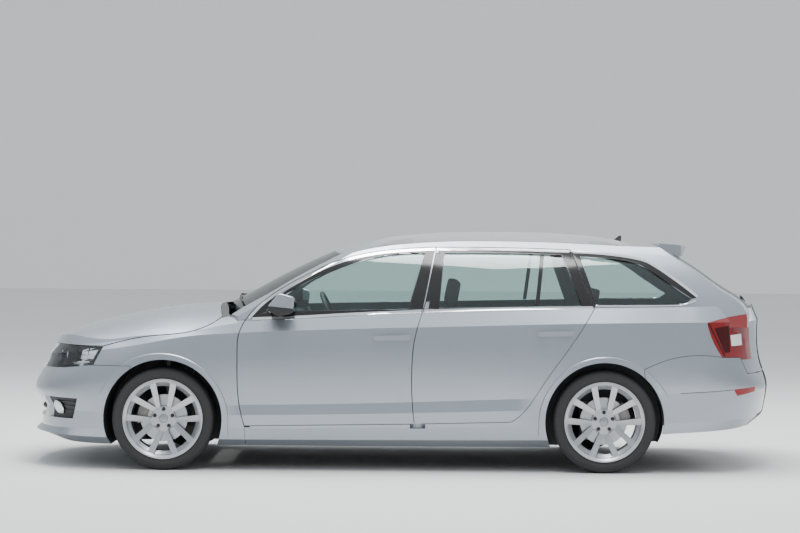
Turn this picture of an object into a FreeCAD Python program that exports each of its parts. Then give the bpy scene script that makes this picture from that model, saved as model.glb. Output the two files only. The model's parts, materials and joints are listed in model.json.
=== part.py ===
"""Five-door estate car: body panels, doors, glass, running gear and cabin.

Millimetres. The nose points to -X, the left side to -Y, and +Z is up. The origin is on the ground
under the middle of the car.
"""
import FreeCAD
import Part
import math
import os

V = FreeCAD.Vector

# Overall sizes
WHEELBASE = 2686.0
FRONT_AXLE_X = -1446.0
REAR_AXLE_X = FRONT_AXLE_X + WHEELBASE
AXLE_Z = 312.0

# Wall thicknesses, measured inwards from the outer form
SKIN = 24.0
DOOR_WALL = 78.0
FRAME_WALL = 46.0

# The greenhouse stands in the lower body down to here
UPPER_BASE_Z = 890.0


class Line:
    """A smooth curve v(x) through a few points, with no overshoot between them."""

    def __init__(self, *points):
        self.x = [p[0] for p in points]
        self.v = [p[1] for p in points]
        steps = list(zip(self.x, self.x[1:], self.v, self.v[1:]))
        rise = [(v1 - v0) / (x1 - x0) for x0, x1, v0, v1 in steps]
        inner = [0.0 if a * b <= 0 else 2 * a * b / (a + b) for a, b in zip(rise, rise[1:])]
        self.slope = [rise[0]] + inner + [rise[-1]]

    def __call__(self, x):
        if x <= self.x[0]:
            return self.v[0] + self.slope[0] * (x - self.x[0])
        if x >= self.x[-1]:
            return self.v[-1] + self.slope[-1] * (x - self.x[-1])
        i = next(k for k in range(len(self.x) - 1) if x <= self.x[k + 1])
        h = self.x[i + 1] - self.x[i]
        t = (x - self.x[i]) / h
        return (
            self.v[i] * (1 + 2 * t) * (1 - t) ** 2
            + self.slope[i] * h * t * (1 - t) ** 2
            + self.v[i + 1] * t * t * (3 - 2 * t)
            + self.slope[i + 1] * h * t * t * (t - 1)
        )


# The lower body is drawn as closed rows round the car. Each row has a nose x, a tail x, and a half
# width and a height along the car. The flank turns into the nose and the tail at these places.
NOSE_TURN_X = -1650.0
TAIL_TURN_X = 1700.0
NOSE_ROUNDNESS = 2.4
TAIL_ROUNDNESS = 2.5
FLANK_X = [
    -1540, -1400, -1250, -1100, -950, -800, -600, -300, 0, 300, 500, 640, 780, 920, 1080, 1240,
    1400, 1560,
]
CORNER_ANGLES = [10, 22, 34, 46, 58, 69, 80]


def row_points(nose_x, tail_x, width, height):
    def corner(turn_x, end_x, roundness, angle):
        along = math.cos(math.radians(angle)) ** (2 / roundness)
        across = math.sin(math.radians(angle)) ** (2 / roundness)
        return turn_x + (end_x - turn_x) * along, width(turn_x) * across

    half = [(nose_x, 0.0)]
    half += [corner(NOSE_TURN_X, nose_x, NOSE_ROUNDNESS, a) for a in CORNER_ANGLES]
    half += [(x, width(x)) for x in [NOSE_TURN_X] + FLANK_X + [TAIL_TURN_X]]
    half += [corner(TAIL_TURN_X, tail_x, TAIL_ROUNDNESS, a) for a in reversed(CORNER_ANGLES)]
    half += [(tail_x, 0.0)]
    return [V(x, -y, height(x)) for x, y in half]


def chord_parameters(points):
    total = [0.0]
    for a, b in zip(points, points[1:]):
        total.append(total[-1] + (b - a).Length)
    return [t / total[-1] for t in total]


ROW_PARAMETERS = chord_parameters(row_points(-2320, 2320, lambda x: 900.0, lambda x: 500.0))


def row(nose_x, tail_x, width, height, inset=0.0):
    """The left half of a row, closed by a straight line along the middle of the car."""
    points = row_points(nose_x + inset, tail_x - inset, lambda x: width(x) - inset, height)
    curve = Part.BSplineCurve()
    speed = 6000.0
    curve.interpolate(
        Points=points, Parameters=ROW_PARAMETERS, InitialTangent=V(0, -speed, 0),
        FinalTangent=V(0, speed, 0),
    )
    return Part.Wire([curve.toShape(), Part.makeLine(points[-1], points[0])])


# How far the lower rib of the doors stands out, along the car
RIB = Line((-1500, 0), (-1050, 0), (-900, 1), (690, 1), (820, 0), (1500, 0))
SIDE_LOW = Line((-1650, 882), (-1440, 892), (0, 897), (1240, 893), (1700, 868))
TORNADO = Line((-2334, 668), (-1700, 745), (-1243, 822), (-615, 857), (354, 888), (1324, 914), (2330, 925))
BELT = Line(
    (-2334, 715), (-2150, 742), (-1809, 772), (-1521, 820), (-1277, 858), (-945, 915),
    (-615, 934), (127, 976), (1178, 1006), (1704, 1014), (2330, 1026),
)
BELT_HALF = Line((-1650, 822), (-1440, 846), (-900, 860), (0, 856), (1240, 836), (1700, 806))


def lower_rows(inset):
    return [
        row(
            -2180, 2080, Line((-1650, 800), (0, 808), (1700, 790)),
            Line((-2400, 150 + inset / 4), (2400, 150 + inset / 4)), inset,
        ),
        row(
            -2334, 2218,
            Line((-1650, 862), (-1440, 868), (0, 868), (1240, 866), (1700, 846)),
            Line(
                (-2334, 208), (-1900, 198), (-1500, 190), (1200, 202), (1620, 240), (2050, 268),
                (2228, 280),
            ),
            inset,
        ),
        row(
            -2300, 2296,
            Line((-1650, 876), (-1440, 888), (0, 896), (1240, 890), (1700, 862)),
            Line((-2334, 240), (-1900, 248), (-1100, 258), (0, 272), (1200, 285), (1700, 310), (2312, 340)),
            inset,
        ),
        row(
            -2298, 2316,
            lambda x: SIDE_LOW(x) + 7 * RIB(x),
            Line(
                (-2334, 380), (-1900, 350), (-1440, 336), (-615, 346), (720, 380), (1700, 430),
                (2330, 445),
            ),
            inset,
        ),
        row(
            -2330, 2322,
            lambda x: SIDE_LOW(x) + 4 - 6 * RIB(x),
            Line(
                (-2334, 420), (-1900, 405), (-1440, 398), (-615, 408), (757, 452), (1700, 492),
                (2330, 500),
            ),
            inset,
        ),
        row(
            -2326, 2298,
            Line((-1650, 890), (-1440, 903), (0, 907), (1240, 903), (1700, 878)),
            Line((-2334, 522), (-1700, 570), (-1000, 610), (1240, 625), (2330, 600)),
            inset,
        ),
        row(
            -2284, 2270,
            Line((-1650, 882), (-1440, 899), (0, 905), (1240, 899), (1700, 872)),
            Line((-2334, 590), (-1700, 660), (-1000, 725), (1240, 760), (2330, 690)),
            inset,
        ),
        row(
            -2252, 2262, Line((-1650, 864), (-1440, 886), (-900, 893), (0, 896), (1240, 889), (1700, 860)),
            TORNADO, inset,
        ),
        row(-2206, 2222, BELT_HALF, BELT, inset),
        row(
            -2050, 2100, Line((-1650, 700), (-1440, 720), (-900, 800), (1240, 790), (1700, 740)),
            lambda x: 1150.0, inset,
        ),
    ]


def loft_solid(groups):
    """A solid from lofts that share their end rows. The first and the last row of all are flat."""
    faces = []
    for rows, ruled in groups:
        faces += Part.makeLoft(rows, False, ruled).Faces
    faces += [Part.Face(groups[0][0][0]), Part.Face(groups[-1][0][-1])]
    shell = Part.makeShell(faces)
    shell.sewShape()
    solid = Part.makeSolid(shell if shell.ShapeType == "Shell" else shell.Shells[0])
    if solid.Volume < 0:
        solid.reverse()
    return solid


def spline(points, parameters=None):
    curve = Part.BSplineCurve()
    if parameters:
        curve.interpolate(Points=points, Parameters=parameters)
    else:
        curve.interpolate(points)
    return curve


# Heights along the middle of the car
BONNET_TOP = Line(
    (-2330, 640), (-2240, 712), (-2195, 757), (-2134, 804), (-2029, 851), (-1906, 888), (-1782, 917),
    (-1659, 943), (-1536, 965), (-1414, 982), (-1290, 992), (
        -1130, 1000,
    ), (-900, 1006), (0, 1010), (2330, 1036),
)
CROWN_Y = [-1000, -860, -740, -560, -300, 0]


def lower_top(inset):
    """Everything under the bonnet and the belt: side views of the top, lofted across the car."""
    xs = [-2400, -2300, -2240, -2195, -2134, -2060, -1980, -1880, -1760, -1600, -1440, -1280, -1130]
    xs += [-945, -780, -615, -300, 0, 600, 1178, 1704, 2100, 2400]
    wires = []
    parameters = None
    for y in CROWN_Y:
        share = (abs(y) / 850.0) ** 3
        points = [V(x, y, BONNET_TOP(x) - (BONNET_TOP(x) - BELT(x) + 5) * share - inset) for x in xs]
        parameters = parameters or chord_parameters(points)
        top = spline(points, parameters).toShape()
        a, b = points[0], points[-1]
        low_a, low_b = V(a.x, y, 0), V(b.x, y, 0)
        wires.append(Part.Wire([
            Part.makeLine(low_a, a), top, Part.makeLine(b, low_b), Part.makeLine(low_b, low_a),
        ]))
    return Part.makeLoft(wires, True, False)


WINDSCREEN = [
    (-1190, 967), (-1047, 1042), (-929, 1102), (-829, 1158), (-732, 1209), (-629, 1260),
    (-530, 1306), (-434, 1348),
]
ROOF = [
    (-434, 1348), (-340, 1372), (-214, 1397), (0, 1417), (300, 1430), (650, 1431), (1000, 1424),
    (1300, 1412), (1655, 1390),
]
BACKLIGHT = [(1655, 1390), (1760, 1326), (1900, 1238), (2060, 1128), (2205, 1006), (2215, 920), (2218, 870)]


def upper_top(inset):
    """Everything under the windscreen, the roof and the backlight."""
    wires = []
    for y in [-900, -760, -620, -440, -220, 0]:
        m = y / 1000.0
        edges = []
        for points, shift_x, drop_z in (
            (
                WINDSCREEN, 280 * m * m, 40 * m * m,
            ), (ROOF, None, 70 * m * m), (BACKLIGHT, -170 * m * m, 40 * m * m),
        ):
            first, last = points[0][0], points[-1][0]
            moved = []
            for x, z in points:
                share = 1 - (x - first) / (last - first)
                dx = 280 * m * m * share - 170 * m * m * (1 - share) if shift_x is None else shift_x
                edge = min(1.0, (x - first) / 250.0, (last - x) / 250.0) if shift_x is None else 0.0
                moved.append(V(x + dx, y, z - 40 * m * m - 30 * m * m * edge - inset))
            edges.append(spline(moved, chord_parameters([V(x, 0, z) for x, z in points])).toShape())
        a = edges[0].Vertexes[0].Point
        b = edges[2].Vertexes[-1].Point
        low_a, low_b = V(a.x, y, 400), V(b.x, y, 400)
        wires.append(Part.Wire([Part.makeLine(low_a, a)] + edges + [
            Part.makeLine(b, low_b), Part.makeLine(low_b, low_a),
        ]))
    return Part.makeLoft(wires, True, False)


def upper_sides(inset):
    """Everything between the two sides of the greenhouse."""
    wires = []
    for z, half in (
        (600, 905), (900, 857), (1000, 834), (1100, 809), (1190, 777), (1280, 727), (1362, 657),
        (1450, 560),
    ):
        line = Line(
            (-1300, half - 46), (-945, half - 8), (-300, half + 4), (500, half + 4),
            (1240, half - 12), (1700, half - 46), (2350, half - 110),
        )
        xs = [-1300, -1100, -945, -700, -300, 100, 500, 900, 1240, 1500, 1700, 2000, 2350]
        points = [V(x, inset - line(x), z) for x in xs]
        corners = [points[-1], V(xs[-1], 0, z), V(xs[0], 0, z), points[0]]
        edges = [Part.makeLine(a, b) for a, b in zip(corners, corners[1:])]
        wires.append(Part.Wire([spline(
            points, chord_parameters([V(x, 0, 0) for x in xs])
        ).toShape()] + edges))
    return Part.makeLoft(wires, True, False)


def lower_form(inset, top_inset=None):
    rows = lower_rows(inset)
    flat = [([rows[i], rows[i + 1]], True) for i in range(4)]
    block = loft_solid(flat + [(rows[4:8], False), (rows[7:9], True), (rows[8:], True)])
    return block.common(lower_top(inset if top_inset is None else top_inset))


def upper_form(inset, roof_inset=None):
    body = upper_top(inset if roof_inset is None else roof_inset).common(upper_sides(inset))
    return body.common(Part.makeBox(3610 - inset, 1200, 800, V(-1400, -1200, UPPER_BASE_Z + 0.1 * inset)))


# Outlines seen from the left side. Each inner list of two points is a straight line, and one of
# more points is a smooth curve through them.
FRONT_EDGE = [(-947, 275), (-982, 423), (-993, 713), (-988, 817), (-962, 890), (-947, 917)]
PILLAR_EDGE = [
    (-947, 917), (-848, 1027), (-727, 1113), (-591, 1189), (-450, 1257), (-320, 1303), (-200, 1330),
    (-60, 1350), (210, 1367),
]
B_EDGE = [(210, 1367), (133, 982), (82, 800), (68, 641), (72, 418), (85, 294)]
ROOF_EDGE = [(210, 1367), (621, 1367), (1036, 1357)]
C_EDGE = [(1036, 1357), (1178, 1003), (1050, 800), (850, 515), (745, 367), (671, 310)]
FRONT_DOOR = [PILLAR_EDGE, B_EDGE, [(85, 294), (-947, 275)], FRONT_EDGE]
REAR_DOOR = [ROOF_EDGE, C_EDGE[:2], C_EDGE[1:], [(671, 310), (85, 294)], B_EDGE[::-1]]
FRONT_GLASS = [
    [(-815, 968), (-640, 1110), (-500, 1186), (-330, 1253), (-150, 1303), (145, 1328)],
    [(145, 1328), (48, 990)], [(48, 990), (-815, 968)],
]
REAR_GLASS = [
    [(262, 1331), (621, 1331), (985, 1322)], [(985, 1322), (1100, 1016)], [(1100, 1016), (230, 996)],
    [(230, 996), (262, 1331)],
]
QUARTER_GLASS = [
    [(1092, 1316), (1262, 1304), (1420, 1280), (1520, 1235), (1640, 1152), (1776, 1062)],
    [(1776, 1062), (1728, 1026)], [(1728, 1026), (1192, 1022)], [(1192, 1022), (1092, 1316)],
]
WINDSCREEN_PLAN = [
    [(-985, 702), (-720, 652), (-370, 566)], [(-370, 566), (-440, 0), (-370, -566)],
    [(-370, -566), (-720, -652), (-985, -702)], [(-985, -702), (-1085, 0), (-985, 702)],
]


def tangents(points):
    """The direction of an outline's segment at each of its points."""
    spots = [V(a, b, 0) for a, b in points]
    if len(spots) == 2:
        step = (spots[1] - spots[0]).normalize()
        return [step, step]
    curve = spline(spots)
    return [V(*curve.tangent(curve.parameter(p))[0]) for p in spots]


def grown(segments, distance):
    """The outline moved outwards by a distance, with its corners kept sharp."""
    loop = [p for points in segments for p in points[:-1]]
    area = sum(p[0] * q[1] - q[0] * p[1] for p, q in zip(loop, loop[1:] + loop[:1]))
    side = distance if area > 0 else -distance
    moved = []
    for points in segments:
        moved.append([(
            V(p[0] + t.y * side, p[1] - t.x * side, 0), t,
        ) for p, t in zip(points, tangents(points))])
    corners = []
    for first, second in zip(moved[-1:] + moved[:-1], moved):
        (p, t), (q, u) = first[-1], second[0]
        cross = t.x * u.y - t.y * u.x
        reach = ((q.x - p.x) * u.y - (q.y - p.y) * u.x) / cross if abs(cross) > 0.02 else 0.0
        corners.append((p.x + t.x * reach, p.y + t.y * reach))
    result = []
    for k, points in enumerate(moved):
        inner = [(p.x, p.y) for p, t in points[1:-1]]
        result.append([corners[k]] + inner + [corners[(k + 1) % len(corners)]])
    return result


def wire(segments, place):
    """A closed wire. place turns each pair of numbers into a point in space."""
    edges = []
    for points in segments:
        spots = [place(*p) for p in points]
        edges.append(Part.makeLine(*spots) if len(spots) == 2 else spline(spots).toShape())
    return Part.Wire(edges)


def side_prism(segments, y0=-1000.0, y1=0.0, grow=0.0):
    """A block with the outline seen from the side. grow moves the outline outwards."""
    loop = wire(grown(segments, grow) if grow else segments, lambda x, z: V(x, y0, z))
    return Part.Face(loop).extrude(V(0, y1 - y0, 0))


def plan_prism(segments, z0, z1, grow=0.0):
    loop = wire(grown(segments, grow) if grow else segments, lambda x, y: V(x, y, z0))
    return Part.Face(loop).extrude(V(0, 0, z1 - z0))


def front_prism(segments, x0, x1, grow=0.0):
    loop = wire(grown(segments, grow) if grow else segments, lambda y, z: V(x0, y, z))
    return Part.Face(loop).extrude(V(x1 - x0, 0, 0))


def ring(points):
    """The outline of a polygon as straight segments."""
    return [[a, b] for a, b in zip(points, points[1:] + points[:1])]


def box(x0, x1, y0, y1, z0, z1):
    return Part.makeBox(x1 - x0, y1 - y0, z1 - z0, V(x0, y0, z0))


def cylinder(radius, a, b):
    along = b - a
    return Part.makeCylinder(radius, along.Length, a, along)


def slab(points, y0, y1):
    """A block from a polygon seen from the side."""
    return Part.Face(Part.makePolygon([V(x, y0, z) for x, z in points + points[:1]])).extrude(V(
        0, y1 - y0, 0,
    ))


def mirrored(shape):
    return shape.mirror(V(0, 0, 0), V(0, 1, 0))


def both(shape):
    """The shape and its mirror image: one solid where they meet at the middle, else two."""
    return shape.fuse(mirrored(shape)).removeSplitter()


def half(low, up):
    return low.fuse(up)


def save(name, shape):
    if not shape.isValid():
        shape.fix(0.001, 0.001, 0.01)
    solids = [s for s in shape.Solids if s.Volume > 50]
    Part.makeCompound(solids).exportStep("parts/" + name + ".step")


SHUT = 5.0
SEAM = 3.0
HINGE_Y = 898.0
HINGES_X = (-960.0, 105.0)
HINGE_ROOM = 47.0
BODY_WALL = 100.0
ROOF_HALF = 556.0
ARCH_RADIUS = 362.0
ARCHES = ((FRONT_AXLE_X, 480.0), (REAR_AXLE_X, 640.0))

BONNET_LINE = [
    (-2500, 748), (-1817, 750), (-1700, 782), (-1521, 816), (-1277, 846), (-1172, 884),
    (-1090, 942),
]
BONNET_SIDE = [[(-2500, 748), (-1817, 750)], BONNET_LINE[1:], [(-1090, 942), (-1000, 1300)],
               [(-1000, 1300), (-2500, 1300)], [(-2500, 1300), (-2500, 748)]]
BONNET_PLAN = [[(-2600, -1000), (-1096, -1000)], [(-1096, -1000), (-1096, -745)],
               [(-1096, -745), (-1150, 0), (-1096, 745)], [(-1096, 745), (-1096, 1000)],
               [(-1096, 1000), (-2600, 1000)], [(-2600, 1000), (-2600, -1000)]]
COWL_PLAN = [[(-985, -706), (-1085, 0), (-985, 706)], [(-985, 706), (-1096, 745)],
             [(-1096, 745), (-1150, 0), (-1096, -745)], [(-1096, -745), (-985, -706)]]
FENDER_SIDE = [
    [(-1878, 634), (-1817, 750)], BONNET_LINE[1:], [(-1090, 942), (-947, 917)], FRONT_EDGE[::-1],
    [(-947, 275), (-940, 120)], [(-940, 120), (-1500, 120)], [(-1500, 120), (-1646, 631)],
    [(-1646, 631), (-1878, 634)],
]
LAMP_SIDE = ring([(-1817, 749), (-1878, 634), (-2076, 612), (-2400, 596), (-2400, 752)])
LAMP_FRONT = ring([(-1000, 500), (-1000, 800), (-462, 800), (-425, 500)])
GRILLE_FRONT = ring([(-395, 738), (-340, 598), (340, 598), (395, 738)])
INTAKE_FRONT = ring([(-560, 404), (-500, 300), (500, 300), (560, 404)])
FOG_SIDE = ring([(-2400, 436), (-1975, 428), (-2007, 302), (-2400, 300)])
FOG_FRONT = ring([(-1000, 200), (-1000, 600), (-612, 600), (-570, 200)])
TAILGATE_REAR = ring([(-540, 1420), (-600, 1180), (-612, 1000), (-600, 712), (-560, 606), (560, 606),
                      (600, 712), (612, 1000), (600, 1180), (540, 1420)])
TAILGATE_FRONT_X = 1594.0
TAIL_BUMPER = [
    [(1473, 632), (1563, 675), (1965, 709)], [(1965, 709), (2080, 706)], [(2080, 706), (2130, 606)],
    [(2130, 606), (2500, 606)], [(2500, 606), (2500, 100)], [(2500, 100), (1560, 100)],
    [(1560, 100), (1473, 632)],
]
TAIL_LAMP = [
    [(1860, 919), (1985, 950), (2110, 972)], [(2110, 972), (2400, 990)], [(2400, 990), (2400, 690)],
    [(2400, 690), (1972, 690)], [(1972, 690), (1900, 800), (1860, 919)],
]
TAIL_BELOW = ring([(1400, 50), (1400, 228), (1600, 240), (2050, 266), (2600, 300), (2600, 50)])
DIFFUSER_SIDE = ring([(1980, 260), (2009, 284), (2326, 380), (2600, 380), (2600, 100), (1980, 100)])
DIFFUSER_HALF = 560.0
BACKLIGHT_REAR = ring([(-505, 1312), (-560, 1020), (560, 1020), (505, 1312)])


def cut_all(piece, cutters):
    for cutter in cutters:
        piece = piece.cut(cutter)
    return piece


LIP_WIDTH = 28.0
LIP_PROUD = 7.0


def arch_lips():
    """The upright band round each wheel opening, standing proud of the flank and bevelled into it."""
    inner, outer = ARCH_RADIUS - 4, ARCH_RADIUS + LIP_WIDTH
    lips = []
    for x, depth in ARCHES:
        section = [
            V(inner, -800, 0), V(inner, -960, 0), V(outer, -960, 0), V(outer, -912, 0),
            V(outer + 22, -880, 0), V(outer + 22, -800, 0),
        ]
        ring_part = Part.Face(Part.makePolygon(section + section[:1])).revolve(V(0, 0, 0), V(0, 1, 0), 360)
        ring_part.translate(V(x, 0, AXLE_Z))
        lips.append(ring_part.common(box(x - 450, x + 450, -1000, -700, AXLE_Z - 110, 900)))
    proud = lower_form(-LIP_PROUD)
    return [lip.common(proud) for lip in lips]


def forms(inset):
    """The lower body and the greenhouse moved inwards, as two blocks."""
    return [lower_form(inset), upper_form(inset)]


def grilles(skin_low, grille, intake, fog):
    """The upper grille with its upright bars, and the black inserts of the lower openings."""
    depth, front = lower_form(SKIN + 6), lower_form(6)
    back = skin_low.common(grille).cut(depth)
    bars = [box(-2500, -2000, -y - 5, -y + 5, 500, 800) for y in range(22, 400, 44)]
    upright = front.common(grille.common(bars[0].fuse(bars[1:]))).cut(skin_low)
    shelf = front.common(intake.common(box(-2500, -2000, -700, 0, 345, 357))).cut(skin_low)
    lower = skin_low.common(intake).cut(depth).fuse(shelf)
    corner_back = skin_low.common(fog).cut(depth)
    return both(back.fuse(upright)), Part.makeCompound([both(lower), corner_back, mirrored(corner_back)])


def body_panels():
    """The painted panels and the fixed glass of the left half, by name."""
    panels = {}
    out = half(*forms(0)).fuse(arch_lips())
    skin_in = forms(SKIN)
    door_in = [lower_form(DOOR_WALL, 20), upper_form(FRAME_WALL, 30)]
    cabin_in = [
        lower_form(BODY_WALL, 20).common(box(-1000, 2140, -1000, 0, 176, 1200)),
        upper_form(FRAME_WALL + 12, 34),
    ]
    glass_slab = upper_form(7).cut(upper_form(12))

    arches = [cylinder(ARCH_RADIUS, V(x, -1000, AXLE_Z), V(x, -depth, AXLE_Z)) for x, depth in ARCHES]

    # Doors: an outer leaf with the full outline and an inner leaf set back all round
    for name, outline, glass in (("front", FRONT_DOOR, FRONT_GLASS), ("rear", REAR_DOOR, REAR_GLASS)):
        tool = side_prism(outline, grow=-SHUT / 2)
        core = side_prism(outline, grow=-24)
        door = cut_all(out.common(tool), door_in)
        door = cut_all(door, [form.common(tool).cut(core) for form in skin_in])
        door = door.cut(side_prism(glass))
        if name == "rear":
            door = door.cut(arches[1])
        door = door.fuse(door_handle(*HANDLES[name]).cut(door_in[0]))
        panels[name + "_door_left"] = door
        panels[name + "_door_glass_left"] = glass_slab.common(side_prism(glass))

    bonnet_cut = side_prism(BONNET_SIDE).common(plan_prism(BONNET_PLAN, 500, 1200))
    bonnet_plan = plan_prism(BONNET_PLAN, 500, 1200, grow=-SHUT / 2)
    bonnet_tool = side_prism(BONNET_SIDE, grow=-SHUT / 2).common(bonnet_plan)
    panels["bonnet"] = both(out.common(bonnet_tool).cut(skin_in[0]))
    lamp = side_prism(LAMP_SIDE).common(front_prism(LAMP_FRONT, -2500, -1700))
    panels["headlamps"] = out.common(lamp).cut(skin_in[0])
    reach = box(-2500, 2500, -1000, -640, 0, 1500)
    fender_tool = side_prism(FENDER_SIDE).common(reach)
    fender = out.common(side_prism(FENDER_SIDE, grow=-SEAM).common(reach))
    cowl_cut = plan_prism(COWL_PLAN, 900, 1100, grow=0.5)
    floor_edge = box(-1100, -900, -691, 0, 100, FLOOR_Z + 1)
    panels["fenders"] = cut_all(fender, [skin_in[0], skin_in[1], arches[0], cowl_cut, floor_edge])
    grille = front_prism(GRILLE_FRONT, -2500, -2000)
    intake = front_prism(INTAKE_FRONT, -2500, -2000)
    fog = side_prism(FOG_SIDE).common(front_prism(FOG_FRONT, -2500, -1700))
    nose = box(-2500, -1560, -1000, 0, 100, 760)
    cuts = [skin_in[0], fender_tool, bonnet_cut, lamp, grille, intake, fog, arches[0]]
    panels["front_bumper"] = both(cut_all(out.common(nose), cuts))
    panels["upper_grille"], panels["lower_grilles"] = grilles(skin_in[0], grille, intake, fog)

    bumper_tool = side_prism(TAIL_BUMPER)
    below = side_prism(TAIL_BELOW)
    black = side_prism(DIFFUSER_SIDE).common(box(1900, 2600, -DIFFUSER_HALF, 0, 100, 400))
    bumper = out.common(side_prism(TAIL_BUMPER, grow=-SEAM))
    panels["rear_bumper"] = both(cut_all(bumper, [skin_in[0], arches[1], below, black]))
    panels["diffuser"] = both(cut_all(out.common(black), [skin_in[0], below]))
    gate_cut = front_prism(TAILGATE_REAR, TAILGATE_FRONT_X, 2500, grow=SHUT / 2)
    gate_tool = front_prism(TAILGATE_REAR, TAILGATE_FRONT_X + SHUT, 2500, grow=-SHUT / 2)
    gate_glass = front_prism(BACKLIGHT_REAR, 1640, 2400)
    gate = cut_all(out.common(gate_tool), door_in + [bumper_tool])
    panels["tailgate"] = both(gate.cut(gate_glass))
    panels["tailgate_glass"] = both(glass_slab.common(gate_glass))

    screen = plan_prism(WINDSCREEN_PLAN, 930, 1500)
    roof_tool = box(-460, TAILGATE_FRONT_X, -ROOF_HALF, 0, 1250, 1500).cut(screen)
    panels["roof"] = both(out.common(roof_tool).cut(cabin_in[1]))
    quarter = side_prism(QUARTER_GLASS)
    pane = glass_slab.common(quarter)
    panels["fixed_glass"] = Part.makeCompound([both(glass_slab.common(screen)), pane, mirrored(pane)])

    tail_lamp = side_prism(TAIL_LAMP)
    panels["tail_lamps"] = cut_all(out.common(tail_lamp), [skin_in[0], gate_cut, bumper_tool])
    side = cut_all(out.common(box(-1090, 2200, -1000, 0, 140, 1500)), cabin_in)
    side = side.cut(fender_tool.cut(skin_in[0])).cut(box(-1100, 2210, -690, 10, 130, 177))
    side = side.cut(box(-1100, -999, -690, 10, 130, 901))
    cowl = plan_prism(COWL_PLAN, 900, 1100)
    panels["cowl"] = both(cut_all(out.common(cowl), [skin_in[0], upper_form(0)]))
    panels["roof_rails"] = roof_rails(out)
    panels["spoiler"] = both(spoiler().cut(out))
    panels["antenna"] = antenna(out)
    cuts = [bonnet_cut, screen, roof_tool, gate_cut, bumper_tool, quarter, cowl_cut] + arches
    cuts.append(tail_lamp.cut(skin_in[0]))
    cuts.append(side_prism(FRONT_DOOR, grow=SHUT / 2).common(box(-1000, -380, -1000, 0, 860, 1320)))
    cuts += [cylinder(HINGE_ROOM, V(x, -HINGE_Y, 266), V(x, -HINGE_Y, 926)) for x in HINGES_X]
    for outline in (FRONT_DOOR, REAR_DOOR):
        full = side_prism(outline, grow=SHUT / 2)
        cuts.append(cut_all(full, [form.common(full) for form in skin_in]))
        cuts.append(side_prism(outline, grow=-14))
    side = cut_all(side, cuts)
    panels["body_sides"] = side.fuse(mirrored(side))
    panels["floor_pan"] = floor_pan(out, cabin_in[0], arches, door_in[0])
    panels["front_structure"] = front_structure(skin_in[0], arches)
    cabin = cabin_in[0].fuse(cabin_in[1])
    panels["dashboard"] = dashboard(cabin)
    return panels


def door_handle(x0, x1, z0, z1):
    """A pull handle on the flank between two places, rising a little to the rear."""
    grip = slab(
        [
            (x0, z0 + 6), (x0 + 8, z0), (x1, z0 + 6), (x1 + 4, z1 - 4), (x1 - 6, z1),
            (x0 + 12, z1 - 6), (x0, z1 - 14),
        ],
        -931, -920,
    )
    foot = slab([(x0 + 2, z0 + 6), (x0 + 40, z0 + 6), (x0 + 40, z1 - 10), (x0 + 2, z1 - 14)], -921, -880)
    heel = slab([(x1 - 30, z0 + 8), (x1, z0 + 8), (x1, z1 - 6), (x1 - 30, z1 - 6)], -921, -880)
    return grip.fuse([foot, heel])


HANDLES = {"front": (-161, 55, 797, 836), "rear": (828, 1044, 829, 867)}


# Running gear
TYRE_RADIUS = AXLE_Z
RIM_RADIUS = 229.0
WHEEL_Y = 773.0
BOLT_CIRCLE = 56.0
DISC_RADIUS = 144.0
KINGPIN_INBOARD = 30.0
SPOKE_ROOT = (60.0, 30.0, 26.0)
SPOKE_TIP = (222.0, 16.5, 40.0)


def turned(profile):
    """A solid of revolution about Y. The profile is (radius, outboard distance) points."""
    return Part.Face(Part.makePolygon([V(r, o, 0) for r, o in profile + profile[:1]])).revolve(
        V(0, 0, 0), V(0, 1, 0), 360
    )


def polar(radius, degrees, y=0.0):
    a = math.radians(degrees)
    return V(radius * math.cos(a), y, radius * math.sin(a))


def spoke(side, angle):
    """A straight tapered bar from near the hub to the barrel, seen along the axle."""
    root = polar(SPOKE_ROOT[0], angle + side * SPOKE_ROOT[1])
    tip = polar(SPOKE_TIP[0], angle + side * SPOKE_TIP[1])
    along = (tip - root).normalize()
    across = along.cross(V(0, 1, 0))
    root = root - along * 12
    tip = tip + along * 6
    half_root, half_tip = across * (SPOKE_ROOT[2] / 2), across * (SPOKE_TIP[2] / 2)
    corners = [root - half_root, tip - half_tip, tip + half_tip, root + half_root]
    return Part.Face(Part.makePolygon(corners + corners[:1])).extrude(V(0, 200, 0))


def rim():
    """The alloy wheel with its hub, its outer side towards +Y and its middle plane at y = 0."""
    barrel = turned([
        (244, 108), (244, 102), (230, 98), (229, 84), (206, 60), (206, -20), (229, -84), (229, -98),
        (244, -102), (244, -108), (236, -108), (221, -96), (221, -80), (198, -22), (198, 62), (219, 84),
        (222, 98), (236, 108),
    ])
    dish = turned([
        (0, 56), (78, 56), (110, 62), (160, 74), (223, 92), (223, 74), (160, 54), (110, 42),
        (78, 26), (0, 26),
    ])
    spokes = [spoke(side, 72 * k + 90) for k in range(5) for side in (-1, 1)]
    web = dish.common(spokes[0].fuse(spokes[1:]))
    pad = turned([(0, 56), (70, 56), (76, 50), (76, 26), (0, 26)])
    wheel = barrel.fuse([web, pad])
    for k in range(5):
        wheel = wheel.cut(Part.makeCylinder(13, 100, polar(BOLT_CIRCLE, 72 * k + 90, 36), V(0, 1, 0)))
        wheel = wheel.cut(Part.makeCylinder(7.5, 100, polar(BOLT_CIRCLE, 72 * k + 90, 20), V(0, 1, 0)))
    return wheel.cut(Part.makeCylinder(28, 20, V(0, 48, 0), V(0, 1, 0)))


def brake_disc():
    disc = turned([(0, 26), (78, 26), (78, 6), (74, 0), (74, -0.1), (0, -0.1)])
    friction = turned([(70, 0), (DISC_RADIUS, 0), (DISC_RADIUS, 22), (70, 22)])
    stub = Part.makeCylinder(34, 60, V(0, -58, 0), V(0, 1, 0))
    return disc.fuse([friction, stub]).removeSplitter()


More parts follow.
